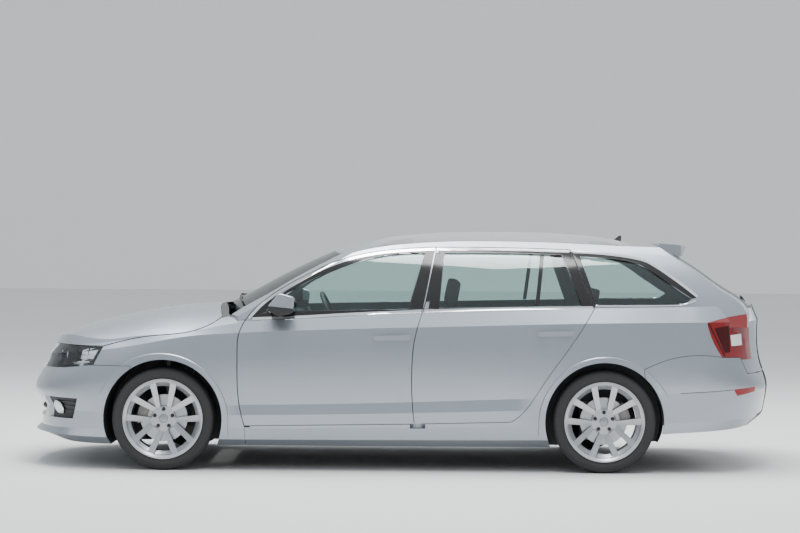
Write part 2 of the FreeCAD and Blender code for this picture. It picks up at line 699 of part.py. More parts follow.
def tyre():
    bead, shoulder = RIM_RADIUS + 1.3, TYRE_RADIUS - 6
    half_section = [
        (bead, 95.5), (RIM_RADIUS + 17, 100.5), (RIM_RADIUS + 33, 112.3), (shoulder, 106),
        (TYRE_RADIUS, 82),
    ]
    return turned(half_section + [(r, -o) for r, o in reversed(half_section)])


def carrier(caliper_angle):
    """The hub carrier and the brake caliper, in the wheel's own frame."""
    ring_body = Part.makeCylinder(62, 44, V(0, -52, 0), V(0, 1, 0))
    ring_body = ring_body.cut(Part.makeCylinder(34.5, 80, V(0, -60, 0), V(0, 1, 0)))
    grip = turned([(100, -34), (163, -34), (163, 42), (150, 42), (112, 36), (100, 31)])
    slot = turned([(60, -6), (DISC_RADIUS + 6, -6), (DISC_RADIUS + 6, 28), (60, 28)])
    wedge = Part.Face(Part.makePolygon([
        V(0, -60, 0), polar(260, caliper_angle - 26, -60), polar(260, caliper_angle + 26, -60), V(0, -60, 0)
    ])).extrude(V(0, 200, 0))
    caliper = grip.cut(slot).common(wedge)
    bracket = turned([(50, -34), (110, -34), (110, -20), (50, -20)]).common(wedge)
    return ring_body.fuse([caliper, bracket]).removeSplitter()


def at_wheel(shape, x, side):
    """A copy of a wheel piece at one corner of the car. side is -1 on the left and 1 on the right."""
    moved = shape.copy() if side > 0 else mirrored(shape)
    moved.translate(V(x, side * WHEEL_Y, AXLE_Z))
    return moved


def rounded(shape, radius):
    """The block with its edges along Y rounded."""
    edges = [e for e in shape.Edges if e.BoundBox.XLength + e.BoundBox.ZLength < 0.01]
    return shape.makeFillet(radius, edges)


SEAT_Y = 370.0
FLOOR_Z = 177.0
LOAD_Z = 560.0
STEP_X = 1100.0
KINGPIN_Y = WHEEL_Y - KINGPIN_INBOARD


def front_seat():
    cushion = rounded(slab([(-330, 330), (-350, 440), (150, 400), (170, 300)], -232, 232), 30)
    back = rounded(slab([(90, 380), (190, 400), (340, 960), (260, 985)], -240, 240), 30)
    head = rounded(slab([(265, 1000), (345, 990), (375, 1150), (300, 1165)], -135, 135), 25)
    posts = [cylinder(7, V(305, y, 950), V(315, y, 1040)) for y in (-60, 60)]
    rails = [box(-300, 160, y - 15, y + 15, FLOOR_Z, 345) for y in (-190, 190)]
    return cushion.fuse([back, head] + posts + rails)


def rear_bench():
    cushion = rounded(slab([(560, 340), (545, 470), (1040, 430), (1050, 330)], -620, 620), 30)
    back = rounded(slab([(960, 420), (1050, 430), (1230, 960), (1150, 985)], -600, 600), 30)
    places = (-380, 0, 380)
    head = [(1150, 995), (1220, 985), (1245, 1110), (1185, 1120)]
    heads = [rounded(slab(head, y - 120, y + 120), 22) for y in places]
    posts = [cylinder(7, V(1190, y + s, 950), V(1200, y + s, 1030)) for y in places for s in (-50, 50)]
    base = box(600, 1000, -560, 560, FLOOR_Z, 345)
    return cushion.fuse([back, base] + heads + posts)


def floor_pan(out, cabin, arches, trunk):
    """The floor, the firewall, the wheelhouses and the load floor, as one welded shell."""
    flat = out.common(box(-1070, 2200, -690, 0, 140, FLOOR_Z))
    flat = flat.cut(box(STEP_X + 20, 2300, -700, 1, 100, 300))
    firewall = box(-1070, -1045, -690, 0, FLOOR_Z - 2, 900).cut(box(-1080, -1040, -60, 1, 200, 310))
    tunnel = box(-1070, 560, -130, 0, FLOOR_Z - 2, 330).cut(box(-1080, 570, -110, 1, 100, 310))
    seat_step = box(STEP_X, STEP_X + 20, -690, 0, FLOOR_Z - 2, LOAD_Z)
    load = box(STEP_X, 2150, -690, 0, LOAD_Z - 20, LOAD_Z).common(trunk)
    well = box(1540, 2080, -420, 0, 290, LOAD_Z - 19).cut(box(1555, 2065, -405, 1, 305, LOAD_Z))
    house = cylinder(ARCH_RADIUS + 6, V(REAR_AXLE_X, -830, AXLE_Z), V(REAR_AXLE_X, -632, AXLE_Z))
    house = house.cut(cylinder(ARCH_RADIUS, V(REAR_AXLE_X, -900, AXLE_Z), V(REAR_AXLE_X, -640, AXLE_Z)))
    house = house.common(box(800, 1700, -1000, 0, 177, 900)).common(cabin)
    house = house.cut(box(REAR_AXLE_X - 260, REAR_AXLE_X + 260, -650, 0, 100, AXLE_Z + 110))
    pan = flat.fuse([firewall, tunnel, seat_step, load, well]).cut(arches[1]).fuse(house)
    return both(pan)


def front_structure(skin_low, arches):
    """The engine bay sides: rails, liners over the wheels, and the panel behind the bumper."""
    rail = box(-2150, -1071, -470, -400, 380, 520)
    liner = cylinder(ARCH_RADIUS + 6, V(FRONT_AXLE_X, -860, AXLE_Z), V(FRONT_AXLE_X, -474, AXLE_Z))
    liner = liner.cut(arches[0]).common(box(-1900, -1091, -1000, 0, 150, 900))
    liner = liner.cut(box(FRONT_AXLE_X - 150, FRONT_AXLE_X + 150, -500, 0, 100, 600))
    top_rail = box(-1800, -1091, -800, -700, 690, 730).cut(arches[0])
    support = box(-2170, -2140, -640, 0, 530, 600)
    beam = box(-2190, -2150, -560, 0, 412, 532)
    shape = rail.fuse([liner, top_rail, support, beam])
    return both(shape.common(skin_low))


def suspension():
    """Fixed links and springs at both axles, with the rear hub carriers."""
    arm = slab(
        [
            (FRONT_AXLE_X - 22, 178), (FRONT_AXLE_X + 22, 178), (FRONT_AXLE_X + 22, 196),
            (FRONT_AXLE_X - 22, 196),
        ],
        -KINGPIN_Y + 4, -380,
    )
    ball = cylinder(15, V(FRONT_AXLE_X, -KINGPIN_Y, 174), V(FRONT_AXLE_X, -KINGPIN_Y, 206))
    frame = box(FRONT_AXLE_X - 120, FRONT_AXLE_X + 260, -400, 0, 170, 230)
    strut = cylinder(26, V(FRONT_AXLE_X, -570, 190), V(FRONT_AXLE_X, -560, 672))
    front = arm.fuse([frame, strut]).fuse(ball)
    beam = cylinder(34, V(REAR_AXLE_X, -WHEEL_Y + 60, AXLE_Z), V(REAR_AXLE_X, 0, AXLE_Z))
    link = cylinder(22, V(REAR_AXLE_X, -600, AXLE_Z - 20), V(STEP_X + 44, -560, 250))
    spring = cylinder(48, V(REAR_AXLE_X + 60, -520, AXLE_Z), V(REAR_AXLE_X + 60, -520, LOAD_Z - 20))
    rear = beam.fuse([link, spring])
    return both(front), both(rear)


WHEEL_HUB = V(-430, -SEAT_Y, 905)
COLUMN_TILT = 24.0
COLUMN_AXIS = V(math.cos(math.radians(COLUMN_TILT)), 0, math.sin(math.radians(COLUMN_TILT)))


def dashboard(cabin):
    """The dashboard across the cabin, trimmed to the inside of the body, with its centre console."""
    top = slab(
        [
            (-1045, 700), (-1045, 900), (-990, 905), (-900, 965), (-640, 940), (-600, 880),
            (-640, 700), (-760, 560), (-1045, 560),
        ],
        -730, 0,
    )
    binnacle = slab([(-700, 930), (-590, 985), (-560, 900), (-640, 800)], -520, -220)
    console = slab(
        [
            (-760, 560), (-1045, 560), (-1045, 331), (420, 331), (420, 520), (60, 530), (-300, 430),
            (-560, 470),
        ],
        -120, 0,
    )
    left = top.fuse(binnacle).common(cabin).fuse(console.common(cabin))
    right = mirrored(top.common(cabin).fuse(console.common(cabin)))
    column = cylinder(34, WHEEL_HUB - COLUMN_AXIS * 20, WHEEL_HUB - COLUMN_AXIS * 300)
    return left.fuse([right]).cut(column).removeSplitter()


def steering_wheel():
    ring_part = Part.makeTorus(178, 15)
    hub = Part.makeCylinder(62, 40, V(0, 0, -30))
    bars = [box(-172, 172, -16, 16, -18, 0), box(-16, 16, -172, 0, -18, 0)]
    shaft = Part.makeCylinder(18, 160, V(0, 0, -180))
    wheel = ring_part.fuse([hub, shaft] + bars)
    wheel.rotate(V(0, 0, 0), V(0, 0, 1), -90)
    wheel.rotate(V(0, 0, 0), V(0, 1, 0), 90 - COLUMN_TILT)
    wheel.translate(WHEEL_HUB)
    return wheel


def roof_rails(out):
    top = [
        (-215, 1380), (-120, 1415), (78, 1446), (460, 1463), (869, 1460), (1239, 1433),
        (1360, 1408), (1430, 1378),
    ]
    side = [top, [(1430, 1378), (1430, 1330)], [(1430, 1330), (-215, 1330)], [(-215, 1330), (-215, 1380)]]
    rail = side_prism(side, -600, -566)
    front = side_prism([
        [(-128, 1380), (-40, 1412), (70, 1430)], [(70, 1430), (70, 1300)],
        [(70, 1300), (-128, 1300)], [(-128, 1300), (-128, 1380)],
    ])
    rear = side_prism([
        [(1152, 1425), (1250, 1410), (1340, 1384)], [(1340, 1384), (1340, 1300)],
        [(1340, 1300), (1152, 1300)], [(1152, 1300), (1152, 1425)],
    ])
    return rail.cut(out).cut(front).cut(rear)


def door_mirror():
    """The mirror housing on its foot, for the left side."""
    head = rounded(
        slab([(-820, 985), (-735, 1085), (-640, 1060), (-655, 960), (-735, 945)], -1003, -885), 26,
    )
    foot = box(-775, -715, -900, -850, 948, 972)
    return head.fuse(foot).removeSplitter()


def spoiler():
    side = slab(
        [(1600, 1400), (1700, 1393), (1802, 1380), (1800, 1372), (1743, 1320), (1700, 1320), (1600, 1380)],
        -700, 0,
    )
    plan = plan_prism([[(1600, 0), (1600, -520)], [(1600, -520), (1738, -500)],
                       [(1738, -500), (1790, -300), (1803, 0)], [(1803, 0), (1600, 0)]], 1200, 1500)
    return side.common(plan)


def wipers():
    """Two blades lying along the foot of the windscreen, with their arms."""
    screen = Line(*WINDSCREEN)

    def spot(x, y, lift):
        m = y / 1000.0
        return V(x, y, screen(x - 280 * m * m) - 40 * m * m + lift)

    parts = []
    for trail in ([(-985, -590), (-1022, -330), (-1040, -20)], [(-1040, 60), (-1028, 280), (-1000, 470)]):
        path = [spot(x, y, 0.5) for x, y in trail]
        ends = [Part.makePolygon([p + V(a, 0, b) for a, b in (
            (-5, 0), (5, 0), (3, 14), (-3, 14), (-5, 0),
        )]) for p in path]
        parts.append(Part.makeLoft(ends, True, True))
    return parts


def underside():
    """The engine as a plain block, the exhaust with its silencer, and the fuel tank."""
    engine = box(-1800, -1350, -400, 400, 260, 800)
    pipe = cylinder(25, V(-1349.5, 0, 264), V(560, 0, 264))
    silencer = rounded(slab([(1640, 205), (2060, 205), (2060, 285), (1640, 285)], 200, 600), 30)
    return engine, Part.makeCompound([pipe, silencer])


def antenna(out):
    fin = slab([(1318, 1380), (1402, 1380), (1412, 1446), (1398, 1450), (1372, 1430)], -22, 22)
    taper = Part.Face(Part.makePolygon([
        V(1300, -24, 1380), V(1300, 24, 1380), V(1300, 5, 1452), V(1300, -5, 1452),
        V(1300, -24, 1380),
    ]))
    return fin.common(taper.extrude(V(150, 0, 0))).cut(out).cut(mirrored(out))


def main():
    os.makedirs("parts", exist_ok=True)
    panels = body_panels()
    for name, shape in panels.items():
        if name.endswith("_left"):
            save(name, shape)
            save(name.replace("_left", "_right"), mirrored(shape))
        elif name in ("fenders", "headlamps", "tail_lamps", "roof_rails"):
            save(name, Part.makeCompound([shape, mirrored(shape)]))
        else:
            save(name, shape)
    mirror = door_mirror()
    save("mirror_left", mirror)
    save("mirror_right", mirrored(mirror))
    save("steering_wheel", steering_wheel())
    seat = front_seat()
    seat.translate(V(0, -SEAT_Y, 0))
    save("front_seats", Part.makeCompound([seat, mirrored(seat)]))
    save("rear_bench", rear_bench())
    save("wipers", Part.makeCompound(wipers()))
    engine, pipe = underside()
    save("engine_block", engine)
    save("exhaust", pipe)
    front_links, rear_links = suspension()
    wheel, disc, rubber = rim(), brake_disc(), tyre()
    rear_hub = carrier(20)
    hubs = [at_wheel(rear_hub, REAR_AXLE_X, side) for side in (-1, 1)]
    save("suspension", Part.makeCompound([front_links, rear_links.fuse(hubs)]))
    for end, x in (("front", FRONT_AXLE_X), ("rear", REAR_AXLE_X)):
        for side, word in ((-1, "left"), (1, "right")):
            save(
                "_".join((end, "rim", word)),
                Part.makeCompound([at_wheel(wheel, x, side), at_wheel(disc, x, side)]),
            )
            save("_".join((end, "tyre", word)), at_wheel(rubber, x, side))
    knuckle = carrier(165)
    for side, word in ((-1, "left"), (1, "right")):
        save("front_knuckle_" + word, at_wheel(knuckle, FRONT_AXLE_X, side))


if __name__ == "__main__":
    main()
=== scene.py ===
"""The look of a silver five-door estate car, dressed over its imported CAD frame."""
import json
import math

import bpy
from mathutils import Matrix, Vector


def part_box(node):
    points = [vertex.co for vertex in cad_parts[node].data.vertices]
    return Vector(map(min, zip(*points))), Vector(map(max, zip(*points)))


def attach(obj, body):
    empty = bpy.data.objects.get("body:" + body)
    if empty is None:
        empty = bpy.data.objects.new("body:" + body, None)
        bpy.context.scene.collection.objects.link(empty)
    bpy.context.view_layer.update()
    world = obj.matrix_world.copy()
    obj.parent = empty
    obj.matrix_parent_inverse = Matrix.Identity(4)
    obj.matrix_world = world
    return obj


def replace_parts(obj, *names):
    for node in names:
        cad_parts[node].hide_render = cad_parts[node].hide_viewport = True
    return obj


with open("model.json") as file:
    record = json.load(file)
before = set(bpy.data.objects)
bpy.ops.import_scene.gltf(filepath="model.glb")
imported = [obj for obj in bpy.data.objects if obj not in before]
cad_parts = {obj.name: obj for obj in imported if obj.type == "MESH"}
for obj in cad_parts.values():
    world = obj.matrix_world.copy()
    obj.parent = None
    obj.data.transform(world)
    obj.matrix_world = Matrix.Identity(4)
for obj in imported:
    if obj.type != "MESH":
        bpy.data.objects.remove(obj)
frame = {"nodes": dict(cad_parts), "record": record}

bl_info = {
    "name": "Estate Car Dressing",
    "version": (1, 0, 0),
    "blender": (4, 5, 0),
    "location": "View3D > Sidebar > Estate Car",
    "description": "Adds paint, glass, trim, lamps, seats, tread and a studio to the estate car",
    "category": "Object",
}


class EstateCarColours(bpy.types.PropertyGroup):
    """Colours of the paint and of the glass."""

    paint_dark: bpy.props.FloatVectorProperty(
        name="Paint, dark flake", description="Darker of the two tones that make up the silver paint",
        subtype="COLOR", default=(0.325, 0.357, 0.40),
    )
    paint_light: bpy.props.FloatVectorProperty(
        name="Paint, light flake", description="Lighter of the two tones that make up the silver paint",
        subtype="COLOR", default=(0.40, 0.438, 0.488),
    )
    glass: bpy.props.FloatVectorProperty(
        name="Glass", description="Tint of the windows, as what they let through",
        subtype="COLOR", default=(0.84, 0.935, 0.915),
    )


class EstateCarStage(bpy.types.PropertyGroup):
    """The studio and the camera."""

    floor_size: bpy.props.FloatProperty(
        name="Floor size", description="Edge of the square floor and of the square wall",
        unit="LENGTH", default=160.0,
    )
    wall_distance: bpy.props.FloatProperty(
        name="Wall distance", description="How far the wall stands from the middle of the car",
        unit="LENGTH", default=48.0,
    )
    camera_place: bpy.props.FloatVectorProperty(
        name="Camera place", description="Where the camera stands, to the left of the car",
        subtype="TRANSLATION", unit="LENGTH", default=(0.13, -14.2, 1.4),
    )
    camera_turn: bpy.props.FloatVectorProperty(
        name="Camera turn", description="Looks straight across the car, tipped down and turned a little",
        subtype="EULER", unit="ROTATION",
        default=(math.radians(90 - 0.65), math.radians(-0.4), math.radians(0.6)),
    )
    lens: bpy.props.FloatProperty(
        name="Lens", description="Focal length on a sensor 36 mm wide", unit="CAMERA", default=98.8,
    )


# Materials


def shader(name, color, metallic, roughness, **inputs):
    """A principled material. Further values are given by the names of its inputs."""
    material = bpy.data.materials.new(name)
    material.use_nodes = True
    bsdf = material.node_tree.nodes["Principled BSDF"]
    bsdf.inputs["Base Color"].default_value = (*color, 1.0)
    bsdf.inputs["Metallic"].default_value = metallic
    bsdf.inputs["Roughness"].default_value = roughness
    for key, value in inputs.items():
        bsdf.inputs[key.replace("_", " ").title()].default_value = value
    return material


def noise_node(material, scale):
    """A noise texture in object coordinates."""
    nodes, links = material.node_tree.nodes, material.node_tree.links
    coords = nodes.new("ShaderNodeTexCoord")
    noise = nodes.new("ShaderNodeTexNoise")
    noise.inputs["Scale"].default_value = scale
    noise.inputs["Detail"].default_value = 2.0
    links.new(coords.outputs["Object"], noise.inputs["Vector"])
    return noise


def add_bump(material, scale, strength):
    """Gives the surface a fine grain."""
    nodes, links = material.node_tree.nodes, material.node_tree.links
    noise = noise_node(material, scale)
    bump = nodes.new("ShaderNodeBump")
    bump.inputs["Strength"].default_value = strength
    bump.inputs["Distance"].default_value = 0.001
    links.new(noise.outputs["Fac"], bump.inputs["Height"])
    links.new(bump.outputs["Normal"], nodes["Principled BSDF"].inputs["Normal"])
    return material


def add_tint(material, scale, dark, light):
    """Lets the colour wander a little between two tones."""
    nodes, links = material.node_tree.nodes, material.node_tree.links
    noise = noise_node(material, scale)
    ramp = nodes.new("ShaderNodeValToRGB")
    ramp.color_ramp.elements[0].color = (*dark, 1.0)
    ramp.color_ramp.elements[1].color = (*light, 1.0)
    links.new(noise.outputs["Fac"], ramp.inputs["Fac"])
    links.new(ramp.outputs["Color"], nodes["Principled BSDF"].inputs["Base Color"])
    return material


def clear_glass(name, color):
    """Thin glass: mostly clear, with a tint and a sharp reflection."""
    material = bpy.data.materials.new(name)
    material.use_nodes = True
    nodes, links = material.node_tree.nodes, material.node_tree.links
    nodes.clear()
    out = nodes.new("ShaderNodeOutputMaterial")
    clear = nodes.new("ShaderNodeBsdfTransparent")
    clear.inputs["Color"].default_value = (*color, 1.0)
    gloss = nodes.new("ShaderNodeBsdfGlossy")
    gloss.inputs["Roughness"].default_value = 0.02
    fresnel = nodes.new("ShaderNodeFresnel")
    fresnel.inputs["IOR"].default_value = 1.5
    mix = nodes.new("ShaderNodeMixShader")
    links.new(fresnel.outputs["Fac"], mix.inputs["Fac"])
    links.new(clear.outputs["BSDF"], mix.inputs[1])
    links.new(gloss.outputs["BSDF"], mix.inputs[2])
    links.new(mix.outputs["Shader"], out.inputs["Surface"])
    return material


def silver_paint():
    """Metallic paint of two close tones under a clear coat."""
    colours = bpy.context.scene.estate_car_colours
    dark_flake, light_flake = tuple(colours.paint_dark), tuple(colours.paint_light)
    paint = shader("silver_paint", light_flake, 0.85, 0.34, coat_weight=1.0, coat_roughness=0.03)
    return add_tint(paint, 900.0, dark_flake, light_flake)


def plastics():
    """Plastic, rubber, cloth and the coloured parts of the lamps."""
    black = shader("black_plastic", (0.018, 0.018, 0.019), 0.0, 0.5)
    cloth = shader("seat_cloth", (0.035, 0.036, 0.038), 0.0, 0.85)
    rubber = shader("tyre_rubber", (0.022, 0.022, 0.023), 0.0, 0.72)
    red = (0.20, 0.0008, 0.002)
    return {
        "black_plastic": add_bump(black, 1500.0, 0.15),
        "gloss_black": shader("gloss_black", (0.008, 0.007, 0.007), 0.0, 0.14),
        # seam_dark colours the strips of painted shade along the rear bumper's creases
        "seam_dark": shader("seam_dark", (0.12, 0.12, 0.13), 0.0, 0.6),
        "seat_cloth": add_bump(cloth, 800.0, 0.5),
        "tyre_rubber": add_bump(rubber, 300.0, 0.12),
        "lamp_red": shader("lamp_red", red, 0.0, 0.08, coat_weight=1.0, coat_roughness=0.02),
        "lamp_window": shader("lamp_window", (0.82, 0.82, 0.82), 0.1, 0.12),
        "lamp_dark": shader("lamp_dark", (0.045, 0.001, 0.002), 0.0, 0.12),
        "reflector_red": shader("reflector_red", (0.26, 0.001, 0.004), 0.0, 0.15),
    }


def metals():
    """Bright trim, wheels, and the bare and primed metal below the skin."""
    primed = shader("primed_steel", (0.05, 0.05, 0.052), 0.1, 0.6)
    engine = shader("engine_alloy", (0.15, 0.15, 0.15), 0.6, 0.5)
    bare = shader("bare_steel", (0.2, 0.19, 0.18), 0.8, 0.45)
    wheel = shader("wheel_alloy", (0.46, 0.47, 0.49), 0.85, 0.28, coat_weight=0.5, coat_roughness=0.1)
    return {
        "chrome": shader("chrome_trim", (0.80, 0.81, 0.82), 1.0, 0.09),
        "rail_alloy": shader("rail_alloy", (0.78, 0.79, 0.80), 0.35, 0.35),
        "primed_steel": add_tint(primed, 4.0, (0.035, 0.035, 0.036), (0.065, 0.065, 0.068)),
        "engine_alloy": add_tint(engine, 8.0, (0.09, 0.09, 0.09), (0.2, 0.2, 0.2)),
        "bare_steel": add_tint(bare, 20.0, (0.12, 0.11, 0.10), (0.28, 0.27, 0.26)),
        "wheel_alloy": wheel,
        "dark_steel": shader("dark_steel", (0.06, 0.06, 0.065), 0.9, 0.35),
        "cap_silver": shader("cap_silver", (0.34, 0.35, 0.37), 0.8, 0.3),
        "disc_steel": shader("disc_steel", (0.42, 0.42, 0.42), 1.0, 0.3),
    }


def glasses():
    """Windows, lamp covers and mirrors."""
    tint = tuple(bpy.context.scene.estate_car_colours.glass)
    return {
        "tinted_glass": clear_glass("tinted_glass", tint),
        "lamp_clear": clear_glass("lamp_clear", (0.93, 0.95, 0.97)),
        "mirror_glass": shader("mirror_glass", (0.9, 0.9, 0.9), 1.0, 0.02),
        "lens_glass": shader("lens_glass", (0.75, 0.80, 0.84), 0.2, 0.05),
    }


# Every finish of the car, by the name of its slot, filled by the first step
MATERIALS = {}


class ESTATE_OT_finishes(bpy.types.Operator):
    """Give every CAD node the finish of its material slot"""

    bl_idname = "estate.finishes"
    bl_label = "Paint the frame"

    def execute(self, context):
        MATERIALS.update({"body_paint": silver_paint(), **plastics(), **metals(), **glasses()})
        for part in frame["record"]["subparts"]:
            node = frame["nodes"][part["node"]]
            node.data.materials.clear()
            node.data.materials.append(MATERIALS[part["material_slot"]])
        return {"FINISHED"}


# Making, laying and finishing pieces

# The two sides of the car, each with its sign along Y and its word in names
SIDES = ((-1, "left"), (1, "right"))

# Faces that meet at less than this are shaded as one surface
SMOOTH_ANGLE = math.radians(35)


def clean_selection():
    """Leaves edit mode and deselects everything."""
    if bpy.context.mode != "OBJECT":
        bpy.ops.object.mode_set(mode="OBJECT")
    bpy.ops.object.select_all(action="DESELECT")


def begin(name):
    """Names the primitive that was just added."""
    piece = bpy.context.active_object
    piece.name = name
    piece.data.name = name
    return piece


def modify(piece, kind, **settings):
    """Adds a modifier with these settings and applies it."""
    modifier = piece.modifiers.new(kind.title(), kind)
    for key, value in settings.items():
        setattr(modifier, key, value)
    bpy.context.view_layer.objects.active = piece
    bpy.ops.object.modifier_apply(modifier=modifier.name)


def finish_piece(piece, material, body):
    """Bakes the piece's place into its mesh, gives it its finish and lets it ride on its body."""
    clean_selection()
    piece.select_set(True)
    bpy.context.view_layer.objects.active = piece
    bpy.ops.object.transform_apply(location=True, rotation=True, scale=True)
    bpy.ops.object.shade_smooth_by_angle(angle=SMOOTH_ANGLE)
    piece.data.materials.clear()
    piece.data.materials.append(MATERIALS[material])
    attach(piece, body)
    return piece


def along(line, share):
    """The point at a share of a line's length, on a smooth curve through its (x, z) points."""
    lengths = [0.0]
    for p, q in zip(line, line[1:]):
        lengths.append(lengths[-1] + math.dist(p, q))
    at = share * lengths[-1]
    k = max(i for i in range(len(line) - 1) if lengths[i] <= at + 1e-9)
    t = (at - lengths[k]) / max(lengths[k + 1] - lengths[k], 1e-9)
    before = line[max(k - 1, 0)]
    after = line[min(k + 2, len(line) - 1)]
    point = []
    for a, b, c, d in zip(before, line[k], line[k + 1], after):
        bend = (2 * a - 5 * b + 4 * c - d) * t * t + (3 * b - a - 3 * c + d) * t**3
        point.append(0.5 * ((2 * b) + (c - a) * t + bend))
    return tuple(point)


def skin_of(*nodes):
    """One passing object with the shape of several CAD nodes, for strips to be laid on."""
    clean_selection()
    for node in nodes:
        frame["nodes"][node].select_set(True)
    bpy.context.view_layer.objects.active = frame["nodes"][nodes[0]]
    bpy.ops.object.duplicate()
    if len(nodes) > 1:
        bpy.ops.object.join()
    return bpy.context.active_object


def drop(*passing):
    """Deletes passing objects."""
    clean_selection()
    for piece in passing:
        piece.select_set(True)
    bpy.ops.object.delete()


# How far out a strip starts before it is laid on the skin, along X and along Y
REACH = (3.0, 1.2)

# A corner of a strip that is still this close to where it started has missed the skin and is removed
MISSED = 0.05

# Ways that a strip comes from: the axis, 0 for X and 1 for Y, and the sign of the side
FROM_FRONT = (0, -1)
FROM_BEHIND = (0, 1)


def strip(
    name, outer, inner, skin, body, material, way, lift, wall, steps=40, rows=3, lips=(None, None)
):
    """A thin strip between two lines, laid on a skin along one axis and given a thickness.

    A point of a line is the place on the other level axis and the height. lift is how far the strip
    stands off the skin. lips are the width and depth of an edge turned in along the outer and along
    the inner line.
    """
    axis, side = way
    edges = [lip or (0.0, 0.0) for lip in lips]
    count = steps + 1
    clean_selection()
    bpy.ops.mesh.primitive_grid_add(x_subdivisions=steps, y_subdivisions=rows + 2, size=1.0)
    piece = begin(name)
    vertices = piece.data.vertices
    for index, vertex in enumerate(vertices):
        share = index % count / steps
        across = min(max((index // count - 1) / rows, 0.0), 1.0)
        a, b = along(outer, share), along(inner, share)
        level, height = (p * (1 - across) + q * across for p, q in zip(a, b))
        start = side * REACH[axis]
        vertex.co = (start, level, height) if axis == 0 else (level, start, height)
    wrap = piece.modifiers.new("Lay", "SHRINKWRAP")
    wrap.wrap_method = "PROJECT"
    wrap.use_project_x = axis == 0
    wrap.use_project_y = axis == 1
    wrap.use_project_z = False
    wrap.use_positive_direction = side < 0
    wrap.use_negative_direction = side > 0
    wrap.target = skin
    wrap.offset = lift
    bpy.context.view_layer.objects.active = piece
    bpy.ops.object.modifier_apply(modifier=wrap.name)
    bpy.ops.object.mode_set(mode="EDIT")
    bpy.ops.mesh.select_all(action="DESELECT")
    bpy.ops.object.mode_set(mode="OBJECT")
    # The first and last rows become the turned-in edges, and are removed where a line has none
    for first, second, (width, depth) in ((0, 1, edges[0]), (rows + 2, rows + 1, edges[1])):
        for k in range(count):
            vertex, beside_it = vertices[first * count + k], vertices[second * count + k]
            further = vertices[(second + (1 if second == 1 else -1)) * count + k]
            out = beside_it.co - further.co
            out[axis] = 0.0
            vertex.co = beside_it.co + out.normalized() * width
            vertex.co[axis] -= side * depth
            vertex.select = width == 0.0
    for vertex in vertices:
        vertex.select = vertex.select or abs(vertex.co[axis]) > REACH[axis] - MISSED
    bpy.ops.object.mode_set(mode="EDIT")
    bpy.ops.mesh.delete(type="VERT")
    bpy.ops.mesh.select_all(action="SELECT")
    bpy.ops.mesh.normals_make_consistent(inside=False)
    bpy.ops.object.mode_set(mode="OBJECT")
    modify(piece, "SOLIDIFY", thickness=wall, offset=0.0)
    finish_piece(piece, material, body)


def beside(line, distance):
    """A line moved sideways, to the right of its direction for positive distances."""
    moved = []
    for k, (x, z) in enumerate(line):
        ahead = line[min(k + 1, len(line) - 1)]
        behind = line[max(k - 1, 0)]
        dx, dz = ahead[0] - behind[0], ahead[1] - behind[1]
        size = math.hypot(dx, dz)
        moved.append((x + dz / size * distance, z - dx / size * distance))
    return moved


# Window trim, mirrors and tailgate

# Lines of the side glass seen from the left, in metres, each running to the rear
PILLAR_LINE = [
    (-0.935, 0.935), (-0.848, 1.027), (-0.727, 1.113), (-0.591, 1.189), (-0.450, 1.257), (-0.320, 1.303),
    (-0.200, 1.330), (-0.060, 1.350), (0.204, 1.3665),
]
ROOF_LINE = [(0.218, 1.367), (0.621, 1.367), (1.030, 1.357)]
QUARTER_LINE = [
    (1.046, 1.3565), (1.262, 1.344), (1.463, 1.314), (1.563, 1.270), (1.714, 1.166), (1.818, 1.085),
]
FRONT_BELT = [(-0.905, 0.932), (-0.615, 0.945), (-0.240, 0.968), (0.120, 0.985)]
REAR_BELT = [(0.142, 0.986), (0.600, 1.002), (1.165, 1.014)]
QUARTER_BELT = [(1.186, 1.022), (1.450, 1.0245), (1.704, 1.029), (1.795, 1.057)]
QUARTER_BELT_FOOT = [(1.186, 1.0115), (1.450, 1.0135), (1.650, 1.0180), (1.712, 1.0205), (1.803, 1.046)]
FRONT_PANE_TOP = [
    (-0.817, 0.970), (-0.640, 1.112), (-0.500, 1.188), (-0.330, 1.255), (-0.150, 1.305), (0.145, 1.330),
]
REAR_PANE_TOP = [(0.262, 1.333), (0.621, 1.333), (0.985, 1.324)]
QUARTER_PANE_TOP = [
    (1.092, 1.318), (1.262, 1.306), (1.420, 1.282), (1.520, 1.237), (1.640, 1.154), (1.778, 1.064),
]


# Upper and lower ends of the pillar covers and of the dark strips of painted shade behind them, as lines of
# two points
FRONT_PILLAR_EDGE = [(0.2035, 1.352), (0.1310, 0.990)]
FRONT_PILLAR_PANE = [(0.147, 1.330), (0.050, 0.990)]
REAR_PILLAR_EDGE = [(0.2105, 1.352), (0.1390, 0.992)]
REAR_PILLAR_PANE = [(0.260, 1.333), (0.228, 0.994)]
REAR_CORNER_EDGE = [(1.037, 1.345), (1.1705, 1.012)]
REAR_CORNER_PANE = [(0.987, 1.324), (1.102, 1.014)]
QUARTER_CORNER_EDGE = [(1.0450, 1.345), (1.1790, 1.012)]
QUARTER_CORNER_PANE = [(1.090, 1.318), (1.190, 1.022)]

# Width and depth of the edge that a cover turns in at the glass and at a shut line
REVEAL = (0.003, 0.007)
SHUT_EDGE = (0.0004, 0.009)

# Where the bright strips and the covers run below the lines of the side glass
BRIGHT_TOP = 0.005
BRIGHT_FOOT = 0.020
COVER_TOP = 0.019
BELT_WIDTH = 0.016


